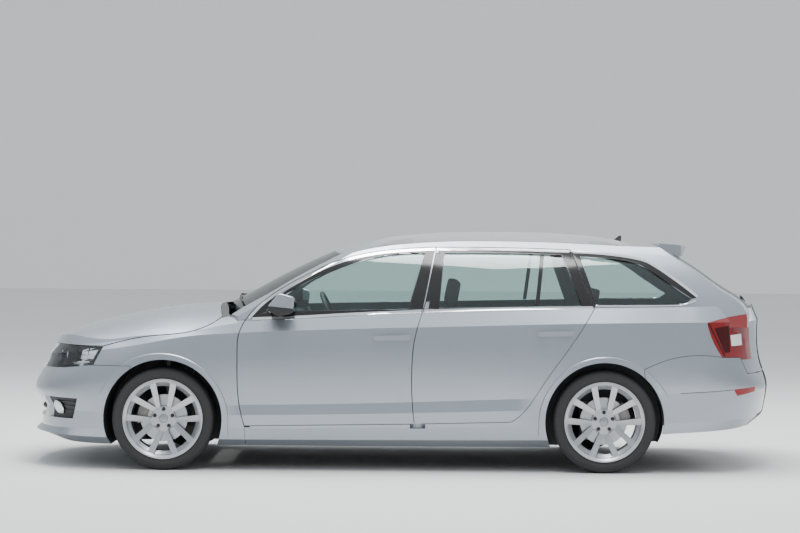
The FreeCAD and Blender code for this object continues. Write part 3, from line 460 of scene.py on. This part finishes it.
def bright_strips(skin, side, word):
    """The bright strips over and under the side glass."""
    front, rear = "front_door_" + word, "rear_door_" + word
    pieces = [
        ("front_roof_strip", beside(PILLAR_LINE, BRIGHT_TOP), beside(PILLAR_LINE, BRIGHT_FOOT), front),
        ("rear_roof_strip", beside(ROOF_LINE, BRIGHT_TOP), beside(ROOF_LINE, BRIGHT_FOOT), rear),
        ("quarter_roof_strip", beside(QUARTER_LINE, BRIGHT_TOP), beside(QUARTER_LINE, BRIGHT_FOOT), "body"),
        ("front_belt_strip", FRONT_BELT, beside(FRONT_BELT, BELT_WIDTH), front),
        ("rear_belt_strip", REAR_BELT, beside(REAR_BELT, BELT_WIDTH), rear),
        ("quarter_belt_strip", QUARTER_BELT, QUARTER_BELT_FOOT, "body"),
    ]
    for name, outer, inner, body in pieces:
        strip(name + "_" + word, outer, inner, skin, body, "chrome", (1, side), lift=0.003, wall=0.004)


def dark_covers(skin, side, word):
    """The black covers of the window frames and pillars, with their edges turned in."""
    front, rear = "front_door_" + word, "rear_door_" + word
    at_glass, at_both = (None, REVEAL), (SHUT_EDGE, REVEAL)
    divider = ([(0.851, 1.325), (0.815, 1.012)], [(0.876, 1.325), (0.840, 1.012)])
    pieces = [
        ("front_frame_cover", beside(PILLAR_LINE, COVER_TOP), FRONT_PANE_TOP, front, at_glass),
        ("rear_frame_cover", beside(ROOF_LINE, COVER_TOP), REAR_PANE_TOP, rear, at_glass),
        ("quarter_frame_cover", beside(QUARTER_LINE, COVER_TOP), QUARTER_PANE_TOP, "body", at_glass),
        ("front_pillar_cover", FRONT_PILLAR_EDGE, FRONT_PILLAR_PANE, front, at_both),
        ("rear_pillar_cover", REAR_PILLAR_EDGE, REAR_PILLAR_PANE, rear, at_both),
        ("rear_corner_cover", REAR_CORNER_EDGE, REAR_CORNER_PANE, rear, at_both),
        ("quarter_corner_cover", QUARTER_CORNER_EDGE, QUARTER_CORNER_PANE, "body", at_both),
        ("front_belt_seal", FRONT_BELT, [(-0.817, 0.966), (0.050, 0.988)], front, at_glass),
        ("rear_belt_seal", REAR_BELT, [(0.228, 0.994), (1.102, 1.014)], rear, at_glass),
        ("rear_divider", *divider, rear, (None, None)),
    ]
    for name, outer, inner, body, lips in pieces:
        strip(
            name + "_" + word, outer, inner, skin, body, "gloss_black", (1, side),
            lift=0.0015, wall=0.0016, lips=lips,
        )


def pillar_shade_strips(side, word):
    """Dark strips of painted shade laid on the pillars in the shut lines between the covers, where the
    deep, narrow gaps lie in shade.
    """
    pillar = skin_of("body_sides")
    # Black strips in the shut lines: painted shade of the narrow gaps, not a part of their own
    pieces = [
        ("middle_shade_strip", [(0.2005, 1.345), (0.1270, 0.985)], [(0.2125, 1.345), (0.1420, 0.985)]),
        ("rear_shade_strip", [(1.0345, 1.345), (1.1690, 1.008)], [(1.0465, 1.345), (1.1820, 1.008)]),
    ]
    for name, outer, inner in pieces:
        strip(
            name + "_" + word, outer, inner, pillar, "body", "black_plastic", (1, side),
            lift=0.0006, wall=0.001,
        )
    drop(pillar)


class ESTATE_OT_window_trim(bpy.types.Operator):
    """Lay the bright strips, the dark covers and the strips of painted shade in the shut lines round the
    side glass
    """

    bl_idname = "estate.window_trim"
    bl_label = "Window trim"

    def execute(self, context):
        for side, word in SIDES:
            doors = ("front_door_" + word, "rear_door_" + word)
            panes = ("front_door_glass_" + word, "rear_door_glass_" + word, "fixed_glass")
            skin = skin_of("body_sides", *doors, *panes)
            bright_strips(skin, side, word)
            dark_covers(skin, side, word)
            pillar_shade_strips(side, word)
            strip(
                "mirror_sail_" + word, [(-0.822, 0.968), (-0.690, 1.074)],
                [(-0.815, 0.962), (-0.690, 0.968)], skin, doors[0], "gloss_black", (1, side),
                lift=0.0075, wall=0.002, steps=20,
            )
            drop(skin)
        return {"FINISHED"}


# Point and direction of the plane that splits a mirror, and the overlap of its two halves
MIRROR_SPLIT_X = -0.73
MIRROR_SPLIT_Z = 1.0
MIRROR_SPLIT_WAY = (0.10, 0, 1)
MIRROR_OVERLAP = 0.002


def mirror_half(node, name, material, body, upper):
    """The upper or lower half of a door mirror, smoothed."""
    piece = skin_of(node)
    piece.name = name
    piece.data.name = name
    modify(piece, "REMESH", mode="VOXEL", voxel_size=0.004)
    modify(piece, "SMOOTH", factor=0.5, iterations=10)
    bpy.ops.object.mode_set(mode="EDIT")
    bpy.ops.mesh.select_all(action="SELECT")
    height = MIRROR_SPLIT_Z if upper else MIRROR_SPLIT_Z - MIRROR_OVERLAP
    bpy.ops.mesh.bisect(
        plane_co=(MIRROR_SPLIT_X, 0, height), plane_no=MIRROR_SPLIT_WAY, use_fill=True,
        clear_inner=upper, clear_outer=not upper,
    )
    bpy.ops.object.mode_set(mode="OBJECT")
    return finish_piece(piece, material, body)


class ESTATE_OT_mirrors(bpy.types.Operator):
    """Split each door mirror into its painted cap and black lower half, and fit its glass"""

    bl_idname = "estate.mirrors"
    bl_label = "Door mirrors"

    def execute(self, context):
        for side, word in SIDES:
            node, body = "mirror_" + word, "front_door_" + word
            cap = mirror_half(node, "mirror_cap_" + word, "body_paint", body, upper=True)
            mirror_half(node, "mirror_foot_" + word, "black_plastic", body, upper=False)
            skin = skin_of(node)
            strip(
                "mirror_glass_" + word, [(side * 0.905, 1.046), (side * 0.985, 1.043)],
                [(side * 0.908, 0.972), (side * 0.983, 0.974)], skin, body, "mirror_glass", FROM_BEHIND,
                lift=-0.0005, wall=0.002, steps=12,
            )
            drop(skin)
            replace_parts(cap, node)
        return {"FINISHED"}


class ESTATE_OT_tailgate_trim(bpy.types.Operator):
    """Add the black side trims of the rear window and its wiper"""

    bl_idname = "estate.tailgate_trim"
    bl_label = "Rear window trim and wiper"

    def execute(self, context):
        skin = skin_of("tailgate", "tailgate_glass")
        for side, word in SIDES:
            outer = [(side * 0.547, 1.330), (side * 0.5955, 1.180), (side * 0.6080, 1.006)]
            inner = [(side * 0.498, 1.330), (side * 0.532, 1.165), (side * 0.562, 1.006)]
            strip(
                "backlight_side_" + word, outer, inner, skin, "tailgate", "gloss_black", FROM_BEHIND,
                lift=0.0015, wall=0.002, rows=8,
            )
        strip(
            "backlight_foot", [(-0.560, 1.003), (0.0, 1.001), (0.560, 1.003)],
            [(-0.560, 1.024), (0.0, 1.023), (0.560, 1.024)], skin, "tailgate",
            "gloss_black", FROM_BEHIND, lift=0.0015, wall=0.002,
        )
        strip(
            "rear_wiper_blade", [(-0.300, 1.064), (0.030, 1.050)], [(-0.300, 1.056), (0.030, 1.042)],
            skin, "tailgate", "black_plastic", FROM_BEHIND, lift=0.009, wall=0.010, steps=24,
        )
        strip(
            "rear_wiper_arm", [(-0.150, 1.070), (0.020, 1.050)], [(-0.150, 1.060), (0.020, 1.022)],
            skin, "tailgate", "black_plastic", FROM_BEHIND, lift=0.019, wall=0.008, steps=16,
        )
        drop(skin)
        return {"FINISHED"}


# Seats


def soft_step(value, low, high):
    """Rises smoothly from 0 at low to 1 at high."""
    t = min(max((value - low) / (high - low), 0.0), 1.0)
    return t * t * (3 - 2 * t)


# Places on a pad are shares of its half length and half width, 0 in the middle and 1 at the edge
# Between these the hollow middle rises to the raised edges, along the pad and across it
HOLLOW_ENDS = (0.72, 1.0)
HOLLOW_SIDES = (0.50, 0.74)

# Between these the channels fade out across the pad
CHANNEL_ENDS = (0.58, 0.66)

# Where the two side seams run, the depth of a sewn line, and the widths of side seams and channels
SIDE_SEAM = 0.66
SEAM_DEPTH = 0.005
SEAM_WIDTH = 0.035
CHANNEL_WIDTH = 0.045

# How far a pad draws in towards its corners along its length, its width and its thickness
CROWN_LENGTH = 0.30
CROWN_WIDTH = 0.24
CROWN_THICKNESS = 0.55


def sewn_depth(u, v, channels, hollow):
    """How far the cover lies below the crown: the hollow middle, its two side seams and its channels."""
    depth = hollow * (1 - soft_step(abs(v), *HOLLOW_SIDES)) * (1 - soft_step(abs(u), *HOLLOW_ENDS))
    if hollow:
        depth += SEAM_DEPTH * math.exp(-(((abs(v) - SIDE_SEAM) / SEAM_WIDTH) ** 2))
    fade = 1 - soft_step(abs(v), *CHANNEL_ENDS)
    for place in channels:
        depth += SEAM_DEPTH * math.exp(-(((u - place) / CHANNEL_WIDTH) ** 2)) * fade
    return depth


def pad(name, face, back, middle_y, half, channels=(), hollow=0.0, cuts=47):
    """A crowned pad. face and back are its two sides seen from the left, each a line of two (x, z) points.

    channels are the places of sewn lines along the face, from -1 to 1, and hollow is how deep the
    middle lies below the raised edges. cuts is how finely the pad is divided. The cover is shaped
    directly: no cloth is simulated.
    """
    clean_selection()
    bpy.ops.mesh.primitive_cube_add(size=2.0)
    piece = begin(name)
    bpy.ops.object.mode_set(mode="EDIT")
    bpy.ops.mesh.select_all(action="SELECT")
    bpy.ops.mesh.subdivide(number_cuts=cuts)
    bpy.ops.object.mode_set(mode="OBJECT")
    for vertex in piece.data.vertices:
        u, v, w = vertex.co
        round_u = u * math.sqrt(1 - CROWN_LENGTH * (v**8 + w * w) / 2)
        round_v = v * math.sqrt(1 - CROWN_WIDTH * (u**8 + w * w) / 2)
        round_w = w * math.sqrt(1 - CROWN_THICKNESS * (u**6 + v**6) / 2)
        share = (round_u + 1) / 2
        spots = []
        for (start_x, start_z), (end_x, end_z) in (face, back):
            x = start_x + (end_x - start_x) * share
            z = start_z + (end_z - start_z) * share
            spots.append(Vector((x, 0, z)))
        inward = (spots[1] - spots[0]).normalized()
        depth = sewn_depth(u, v, channels, hollow) * soft_step(w, 0.2, 0.9)
        place = spots[1].lerp(spots[0], (round_w + 1) / 2) + inward * depth
        vertex.co = (place.x, middle_y + round_v * half, place.z)
    finish_piece(piece, "seat_cloth", "body")
    return piece


def block(name, low, high, material, rounding=0.006):
    """A rounded block between two corners."""
    clean_selection()
    bpy.ops.mesh.primitive_cube_add(size=1.0, location=[(a + b) / 2 for a, b in zip(low, high)])
    piece = begin(name)
    piece.scale = [b - a for a, b in zip(low, high)]
    bpy.ops.object.transform_apply(location=True, rotation=True, scale=True)
    modify(piece, "BEVEL", width=rounding, segments=3)
    finish_piece(piece, material, "body")


def post(name, foot, top):
    """A round steel post of a head restraint between two points."""
    radius = 0.0065
    way = Vector(top) - Vector(foot)
    clean_selection()
    bpy.ops.mesh.primitive_cylinder_add(
        vertices=24, radius=radius, depth=way.length, location=(Vector(foot) + Vector(top)) / 2,
        rotation=way.to_track_quat("Z", "Y").to_euler(),
    )
    piece = begin(name)
    modify(piece, "BEVEL", width=radius / 4, segments=2)
    finish_piece(piece, "chrome", "body")


# Middle of the front seats, out from the middle of the car, and middles of the bench's three places
FRONT_SEAT_Y = 0.37
BENCH_PLACES = (-0.38, 0.0, 0.38)

# Top of the seat rails and of the bench's base, where the cushions rest
RAIL_TOP = 0.335
BENCH_BASE_TOP = 0.343


def front_seat(y, word, floor):
    """One front seat. Returns its backrest."""
    pad(
        "front_cushion_" + word, ((-0.350, 0.440), (0.150, 0.400)), ((-0.330, 0.330), (0.170, 0.300)),
        y, 0.232, channels=(-0.35, 0.1, 0.5), hollow=0.016,
    )
    rest = pad(
        "front_backrest_" + word, ((0.092, 0.415), (0.255, 0.985)), ((0.195, 0.420), (0.338, 0.960)),
        y, 0.240, channels=(-0.5, -0.15, 0.2), hollow=0.018,
    )
    pad(
        "front_head_" + word, ((0.267, 1.000), (0.300, 1.163)), ((0.343, 0.992), (0.373, 1.150)),
        y, 0.133, cuts=23,
    )
    for k, shift in enumerate((-0.06, 0.06)):
        post("front_post_%s_%d" % (word, k), (0.305, y + shift, 0.950), (0.315, y + shift, 1.040))
    for k, shift in enumerate((-0.19, 0.19)):
        low, high = (-0.300, y + shift - 0.015, floor), (0.160, y + shift + 0.015, RAIL_TOP)
        block("seat_rail_%s_%d" % (word, k), low, high, "primed_steel")
    return rest


def rear_bench(floor):
    """The bench with its backrest and three head restraints. Returns its cushion."""
    cushion = pad(
        "bench_cushion", ((0.547, 0.470), (1.000, 0.432)), ((0.560, 0.342), (1.010, 0.335)),
        0.0, 0.618, channels=(-0.3, 0.3), hollow=0.012,
    )
    pad(
        "bench_backrest", ((0.965, 0.440), (1.152, 0.980)), ((1.045, 0.440), (1.228, 0.960)),
        0.0, 0.598, channels=(-0.45, 0.0, 0.45), hollow=0.012,
    )
    for k, y in enumerate(BENCH_PLACES):
        pad(
            "bench_head_%d" % k, ((1.152, 0.996), (1.186, 1.118)), ((1.218, 0.987), (1.243, 1.108)),
            y, 0.119, cuts=23,
        )
        for j, shift in enumerate((-0.05, 0.05)):
            post("bench_post_%d_%d" % (k, j), (1.190, y + shift, 0.945), (1.200, y + shift, 1.030))
    block("bench_base", (0.600, -0.560, floor), (1.000, 0.560, BENCH_BASE_TOP), "black_plastic", 0.012)
    return cushion


class ESTATE_OT_seats(bpy.types.Operator):
    """Make the padded front seats and the rear bench with their head restraints, posts and rails"""

    bl_idname = "estate.seats"
    bl_label = "Seats"

    def execute(self, context):
        # The seat rails and the bench's base reach down to the foot of the frame's front seats
        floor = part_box("front_seats")[0][2]
        rests = [front_seat(side * FRONT_SEAT_Y, word, floor) for side, word in SIDES]
        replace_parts(rests[0], "front_seats")
        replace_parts(rear_bench(floor), "rear_bench")
        return {"FINISHED"}


# Wheels

# The four wheels, each with its end of the car, the sign of its side and its word in names
WHEELS = [(end, side, word) for end in ("front", "rear") for side, word in SIDES]


def wheel_centre(end, word):
    """The middle of a wheel, from its tyre's box."""
    low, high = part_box("_".join((end, "tyre", word)))
    return (Vector(low) + Vector(high)) / 2


def outboard(centre, side, distance, radius=0.0, degrees=0.0):
    """A place at a distance out from a wheel's middle plane and a radius and angle about its axle."""
    a = math.radians(degrees)
    return (centre.x + radius * math.cos(a), centre.y + side * distance, centre.z + radius * math.sin(a))


# Half of the tyre's section as radius and distance from its middle plane, in metres, bead first
TYRE_SECTION = [
    (0.2303, 0.086), (0.2303, 0.0955), (0.238, 0.0980), (0.2405, 0.0985), (0.252, 0.1040), (0.254, 0.1045),
    (0.264, 0.1115), (0.274, 0.1125), (0.286, 0.1110), (0.296, 0.1080), (0.3025, 0.1030), (0.3068, 0.096),
    (0.3098, 0.086), (0.3112, 0.072), (0.3114, 0.058), (0.3045, 0.057), (0.3045, 0.048), (0.3117, 0.047),
    (0.3119, 0.022), (0.3045, 0.021), (0.3045, 0.012), (0.3119, 0.011),
]


class ESTATE_OT_tyres(bpy.types.Operator):
    """Turn the tyres with their grooved tread and their stepped side walls"""

    bl_idname = "estate.tyres"
    bl_label = "Tyres"

    def execute(self, context):
        section = TYRE_SECTION + [(radius, -out) for radius, out in reversed(TYRE_SECTION)]
        for end, side, word in WHEELS:
            centre = wheel_centre(end, word)
            clean_selection()
            bpy.ops.mesh.primitive_circle_add(vertices=len(section), radius=0.1)
            piece = begin("_".join((end, "tread", word)))
            for vertex, (radius, out) in zip(piece.data.vertices, section):
                vertex.co = outboard(centre, side, out, radius, 90)
            bpy.ops.object.mode_set(mode="EDIT")
            bpy.ops.mesh.select_all(action="SELECT")
            bpy.ops.mesh.spin(steps=144, angle=math.tau, center=centre, axis=(0, 1, 0))
            bpy.ops.mesh.select_all(action="SELECT")
            bpy.ops.mesh.remove_doubles(threshold=0.00001)
            bpy.ops.mesh.normals_make_consistent(inside=False)
            bpy.ops.object.mode_set(mode="OBJECT")
            finish_piece(piece, "tyre_rubber", "_".join((end, "wheel", word)))
            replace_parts(piece, "_".join((end, "tyre", word)))
        return {"FINISHED"}


# Five bolts on their pitch circle. OUT is how far a piece stands out from the wheel's middle plane
BOLTS = 5
PITCH_RADIUS = 0.056
BOLT_OUT = 0.0415
COLLAR_OUT = 0.037
CAP_OUT = 0.0525
CAP_RADIUS = 0.0272


def bolt_at(centre, side, degrees):
    """A bolt's head and the collar under it, as two objects."""
    across = (math.radians(90), 0, 0)
    clean_selection()
    bpy.ops.mesh.primitive_cylinder_add(
        vertices=6, radius=0.0098, depth=0.011, rotation=across,
        location=outboard(centre, side, BOLT_OUT, PITCH_RADIUS, degrees),
    )
    bolt = begin("bolt")
    modify(bolt, "BEVEL", width=0.0014, segments=2)
    clean_selection()
    bpy.ops.mesh.primitive_cylinder_add(
        vertices=24, radius=0.0116, depth=0.002, rotation=across,
        location=outboard(centre, side, COLLAR_OUT, PITCH_RADIUS, degrees),
    )
    return [bolt, begin("collar")]


class ESTATE_OT_wheel_bolts(bpy.types.Operator):
    """Set the dark bolts and the plain centre cap in every wheel"""

    bl_idname = "estate.wheel_bolts"
    bl_label = "Wheel bolts and caps"

    def execute(self, context):
        for end, side, word in WHEELS:
            centre = wheel_centre(end, word)
            body = "_".join((end, "wheel", word))
            bolts = []
            for k in range(BOLTS):
                bolts += bolt_at(centre, side, 360 / BOLTS * k + 90)
            clean_selection()
            for bolt in bolts:
                bolt.select_set(True)
            bpy.context.view_layer.objects.active = bolts[0]
            bpy.ops.object.join()
            bolts[0].name = "_".join((end, "bolts", word))
            finish_piece(bolts[0], "dark_steel", body)
            clean_selection()
            bpy.ops.mesh.primitive_uv_sphere_add(segments=48, ring_count=24, radius=CAP_RADIUS)
            cap = begin("_".join((end, "cap", word)))
            cap.scale = (1.0, 0.22, 1.0)
            cap.location = outboard(centre, side, CAP_OUT)
            finish_piece(cap, "cap_silver", body)
        return {"FINISHED"}


# Lamps and bumpers

# The two lenses of a headlamp: place along X, distance from the middle of the car, height and radius
HEADLAMP_LENSES = ((-2.105, 0.545, 0.678, 0.034), (-2.055, 0.650, 0.680, 0.028))


def headlamp_inside(side, word):
    """The dark housing of a headlamp with its bright bowl, wing and blade, seen through the cover."""
    # Each with its two lines, finish, lift off the cover, wall and steps
    pieces = [
        ("housing", [(-2.060, 0.742), (-1.835, 0.740)], [(-2.085, 0.628), (-1.893, 0.645)],
         "black_plastic", -0.034, 0.003, 40),
        ("bowl", [(-1.948, 0.728), (-1.912, 0.730)], [(-1.962, 0.668), (-1.918, 0.664)],
         "chrome", -0.028, 0.003, 8),
        ("wing", [(-1.900, 0.735), (-1.842, 0.737)], [(-1.918, 0.672), (-1.880, 0.668)],
         "chrome", -0.028, 0.003, 8),
        ("blade", [(-2.066, 0.652), (-1.905, 0.655)], [(-2.060, 0.640), (-1.900, 0.648)],
         "chrome", -0.027, 0.002, 24),
    ]
    skin = skin_of("headlamps")
    for part, outer, inner, material, lift, wall, steps in pieces:
        name = "headlamp_%s_%s" % (part, word)
        strip(name, outer, inner, skin, "body", material, (1, side), lift, wall, steps)
    strip(
        "headlamp_front_housing_" + word, [(side * 0.48, 0.735), (side * 0.70, 0.738)],
        [(side * 0.455, 0.620), (side * 0.70, 0.630)], skin, "body", "black_plastic", FROM_FRONT,
        lift=-0.034, wall=0.003,
    )
    drop(skin)


def headlamp_lenses(side, word):
    """The two lenses of a headlamp in their bright rings."""
    for k, (x, y, z, radius) in enumerate(HEADLAMP_LENSES):
        clean_selection()
        bpy.ops.mesh.primitive_torus_add(
            major_radius=radius + 0.005, minor_radius=0.004, major_segments=48, minor_segments=12,
            location=(x, side * y, z), rotation=(0, math.radians(90), 0),
        )
        finish_piece(begin("headlamp_ring_%d_%s" % (k, word)), "chrome", "body")
        clean_selection()
        bpy.ops.mesh.primitive_uv_sphere_add(segments=48, ring_count=24, radius=radius)
        lens = begin("headlamp_lens_%d_%s" % (k, word))
        lens.scale = (0.45, 1.0, 1.0)
        lens.location = (x, side * y, z)
        finish_piece(lens, "lens_glass", "body")


def tail_lamp_parts(side, word):
    """The clear window of a tail lamp, its shade and its dark front edge."""
    # Each with its two lines, finish, lift off the lamp, wall and steps
    pieces = [
        ("window", [(2.012, 0.842), (2.085, 0.850)], [(2.020, 0.776), (2.092, 0.780)],
         "lamp_window", 0.0015, 0.002, 12),
        ("shade", [(1.905, 0.885), (2.000, 0.900)], [(1.975, 0.735), (2.010, 0.740)],
         "lamp_dark", 0.001, 0.0015, 16),
        ("edge", [(1.868, 0.912), (1.968, 0.718)], [(1.876, 0.914), (1.976, 0.718)],
         "lamp_dark", 0.001, 0.0015, 24),
    ]
    skin = skin_of("tail_lamps", "tailgate")
    for part, outer, inner, material, lift, wall, steps in pieces:
        name = "tail_lamp_%s_%s" % (part, word)
        strip(name, outer, inner, skin, "body", material, (1, side), lift, wall, steps)
    drop(skin)


class ESTATE_OT_lamps(bpy.types.Operator):
    """Fit the insides of the headlamps and the clear windows and dark bars of the tail lamps"""

    bl_idname = "estate.lamps"
    bl_label = "Lamps"

    def execute(self, context):
        for side, word in SIDES:
            headlamp_inside(side, word)
            headlamp_lenses(side, word)
            tail_lamp_parts(side, word)
        return {"FINISHED"}


def rear_bumper_marks(side, word):
    """The reflector of one side of the rear bumper, and a dark grey strip of painted shade along its
    crease.
    """
    skin = skin_of("rear_bumper")
    strip(
        "rear_reflector_" + word, [(2.035, 0.512), (2.185, 0.521)], [(2.058, 0.472), (2.180, 0.492)],
        skin, "body", "reflector_red", (1, side), lift=0.0015, wall=0.003, steps=16,
    )
    # A thin dark grey strip along the crease: painted shade of the crease
    strip(
        "rear_crease_shade_" + word, [(1.700, 0.492), (2.030, 0.512)], [(1.700, 0.487), (2.030, 0.506)],
        skin, "body", "seam_dark", (1, side), lift=0.0003, wall=0.0008, steps=30,
    )
    drop(skin)


# The fog lamps' distance from the middle of the car and their height, and the lowest of their bars
FOG_LAMP_Y = 0.668
FOG_LAMP_Z = 0.366
FOG_BAR_Z = 0.325
FOG_BAR_STEP = 0.027
FOG_BARS = 4


def fog_bars(side, word):
    """The level bars that run round the outer ends of the lower grille."""
    skin = skin_of("lower_grilles")
    for k in range(FOG_BARS):
        z = FOG_BAR_Z + k * FOG_BAR_STEP
        strip(
            "fog_bar_%d_%s" % (k, word), [(-2.135, z), (-1.995, z + 0.001)],
            [(-2.135, z - 0.008), (-1.995, z - 0.007)], skin, "body", "black_plastic", (1, side),
            lift=0.004, wall=0.006, steps=10,
        )
    drop(skin)


def fog_lamp(side, word):
    """A round fog lamp and its ring, set square on the grille where it stands."""
    grille = frame["nodes"]["lower_grilles"]
    found, place, normal, _ = grille.ray_cast((-3.0, side * FOG_LAMP_Y, FOG_LAMP_Z), (1.0, 0, 0))
    if not found:
        raise RuntimeError("The lower grille has no face where the fog lamp stands")
    turn = normal.to_track_quat("Z", "Y").to_euler()
    clean_selection()
    bpy.ops.mesh.primitive_cylinder_add(
        vertices=48, radius=0.042, depth=0.018, location=place + normal * 0.009, rotation=turn
    )
    lamp = begin("fog_lamp_" + word)
    modify(lamp, "BEVEL", width=0.007, segments=4)
    finish_piece(lamp, "lens_glass", "body")
    clean_selection()
    bpy.ops.mesh.primitive_torus_add(
        major_radius=0.0455, minor_radius=0.005, major_segments=48, minor_segments=10,
        location=place + normal * 0.012, rotation=turn,
    )
    finish_piece(begin("fog_ring_" + word), "chrome", "body")


def grille_frame():
    """The bright frame round the upper grille."""
    pieces = [
        ("top", [(-0.402, 0.7475), (0.402, 0.7475)], [(-0.396, 0.7400), (0.396, 0.7400)]),
        ("foot", [(-0.350, 0.584), (0.350, 0.584)], [(-0.342, 0.596), (0.342, 0.596)]),
    ]
    for side, word in SIDES:
        outer = [(side * 0.411, 0.7475), (side * 0.355, 0.584)]
        inner = [(side * 0.3975, 0.7380), (side * 0.3425, 0.597)]
        pieces.append((word, outer, inner))
    skin = skin_of("front_bumper", "upper_grille", "bonnet")
    for part, outer, inner in pieces:
        strip(
            "grille_frame_" + part, outer, inner, skin, "body", "chrome", FROM_FRONT,
            lift=0.002, wall=0.003, lips=(None, (0.002, 0.014)),
        )
    drop(skin)


class ESTATE_OT_bumper_trim(bpy.types.Operator):
    """Add the rear reflectors, the painted shade along the rear bumper's creases, the fog lamps with their
    bars, and the grille frame
    """

    bl_idname = "estate.bumper_trim"
    bl_label = "Bumper trim"

    def execute(self, context):
        for side, word in SIDES:
            rear_bumper_marks(side, word)
            fog_bars(side, word)
            fog_lamp(side, word)
        grille_frame()
        return {"FINISHED"}


# Studio


def light(name, location, target, width, height, power):
    """A soft rectangular light that points at a target."""
    bpy.ops.object.light_add(type="AREA", location=location)
    lamp = bpy.context.active_object
    lamp.name = name
    lamp.data.shape = "RECTANGLE"
    lamp.data.size = width
    lamp.data.size_y = height
    lamp.data.energy = power
    lamp.rotation_euler = (Vector(target) - Vector(location)).to_track_quat("-Z", "Y").to_euler()


def studio_plane(name, size, location, rotation, material):
    """One pale plane of the studio."""
    bpy.ops.mesh.primitive_plane_add(size=size, location=location, rotation=rotation)
    plane = bpy.context.active_object
    plane.name = name
    plane.data.materials.append(material)
    return plane


def studio_sky():
    """A sky that grows brighter from the level upwards."""
    world = bpy.data.worlds.new("studio_world")
    bpy.context.scene.world = world
    world.use_nodes = True
    nodes, links = world.node_tree.nodes, world.node_tree.links
    coords = nodes.new("ShaderNodeTexCoord")
    split = nodes.new("ShaderNodeSeparateXYZ")
    ramp = nodes.new("ShaderNodeValToRGB")
    low, high = ramp.color_ramp.elements
    low.position = 0.02
    low.color = (0.30, 0.32, 0.34, 1.0)
    high.position = 0.55
    high.color = (0.90, 0.95, 1.0, 1.0)
    links.new(coords.outputs["Generated"], split.inputs["Vector"])
    links.new(split.outputs["Z"], ramp.inputs["Fac"])
    links.new(ramp.outputs["Color"], nodes["Background"].inputs["Color"])
    nodes["Background"].inputs["Strength"].default_value = 1.3


class ESTATE_OT_stage(bpy.types.Operator):
    """Add the pale studio floor and wall, the lights and the camera"""

    bl_idname = "estate.stage"
    bl_label = "Studio and camera"

    def execute(self, context):
        stage = context.scene.estate_car_stage
        pale_floor = shader("studio_floor", (0.62, 0.62, 0.61), 0.0, 0.75)
        pale_wall = shader("studio_wall", (0.92, 0.92, 0.91), 0.0, 0.9)
        upright = (math.radians(90), 0, 0)
        behind = (0, stage.wall_distance, 0)
        floor = studio_plane("studio_floor", stage.floor_size, (0, 0, 0), (0, 0, 0), pale_floor)
        wall = studio_plane("studio_wall", stage.floor_size, behind, upright, pale_wall)
        studio_sky()
        light("key_light", (-1.0, -0.8, 8.0), (0, 0, 0.7), 9.0, 2.2, 1000.0)
        light("top_light", (0.5, 1.5, 7.0), (0, 0, 0.8), 8.0, 4.0, 500.0)
        light("rear_light", (7.0, 4.0, 4.0), (0, 0, 0.8), 3.0, 3.0, 200.0)
        bpy.ops.object.camera_add(location=stage.camera_place)
        camera = context.active_object
        camera.name = "photo_camera"
        camera.data.lens = stage.lens
        camera.data.sensor_width = 36.0
        camera.rotation_euler = stage.camera_turn
        context.scene.camera = camera
        return {"FINISHED"}


# Panel and running


class ESTATE_PT_panel(bpy.types.Panel):
    """The dressing's values and steps"""

    bl_idname = "ESTATE_PT_panel"
    bl_label = "Estate Car"
    bl_space_type = "VIEW_3D"
    bl_region_type = "UI"
    bl_category = "Estate Car"

    def draw(self, context):
        for group in (context.scene.estate_car_colours, context.scene.estate_car_stage):
            for name in group.bl_rna.properties.keys():
                if name not in ("rna_type", "name"):
                    self.layout.prop(group, name)
        for step in STEPS:
            self.layout.operator(step.bl_idname)


STEPS = (
    ESTATE_OT_finishes,
    ESTATE_OT_window_trim,
    ESTATE_OT_mirrors,
    ESTATE_OT_tailgate_trim,
    ESTATE_OT_seats,
    ESTATE_OT_tyres,
    ESTATE_OT_wheel_bolts,
    ESTATE_OT_lamps,
    ESTATE_OT_bumper_trim,
    ESTATE_OT_stage,
)
CLASSES = (EstateCarColours, EstateCarStage) + STEPS + (ESTATE_PT_panel,)


def register():
    """Registers the classes and ties the two groups of values to the scene."""
    for cls in CLASSES:
        bpy.utils.register_class(cls)
    bpy.types.Scene.estate_car_colours = bpy.props.PointerProperty(type=EstateCarColours)
    bpy.types.Scene.estate_car_stage = bpy.props.PointerProperty(type=EstateCarStage)


def unregister():
    """Takes the groups of values and the classes away again."""
    del bpy.types.Scene.estate_car_stage
    del bpy.types.Scene.estate_car_colours
    for cls in reversed(CLASSES):
        bpy.utils.unregister_class(cls)


def main():
    """Runs every step in order."""
    register()
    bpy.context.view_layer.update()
    for step in STEPS:
        name = step.bl_idname.split(".")[1]
        getattr(bpy.ops.estate, name)()


if __name__ == "__main__":
    main()
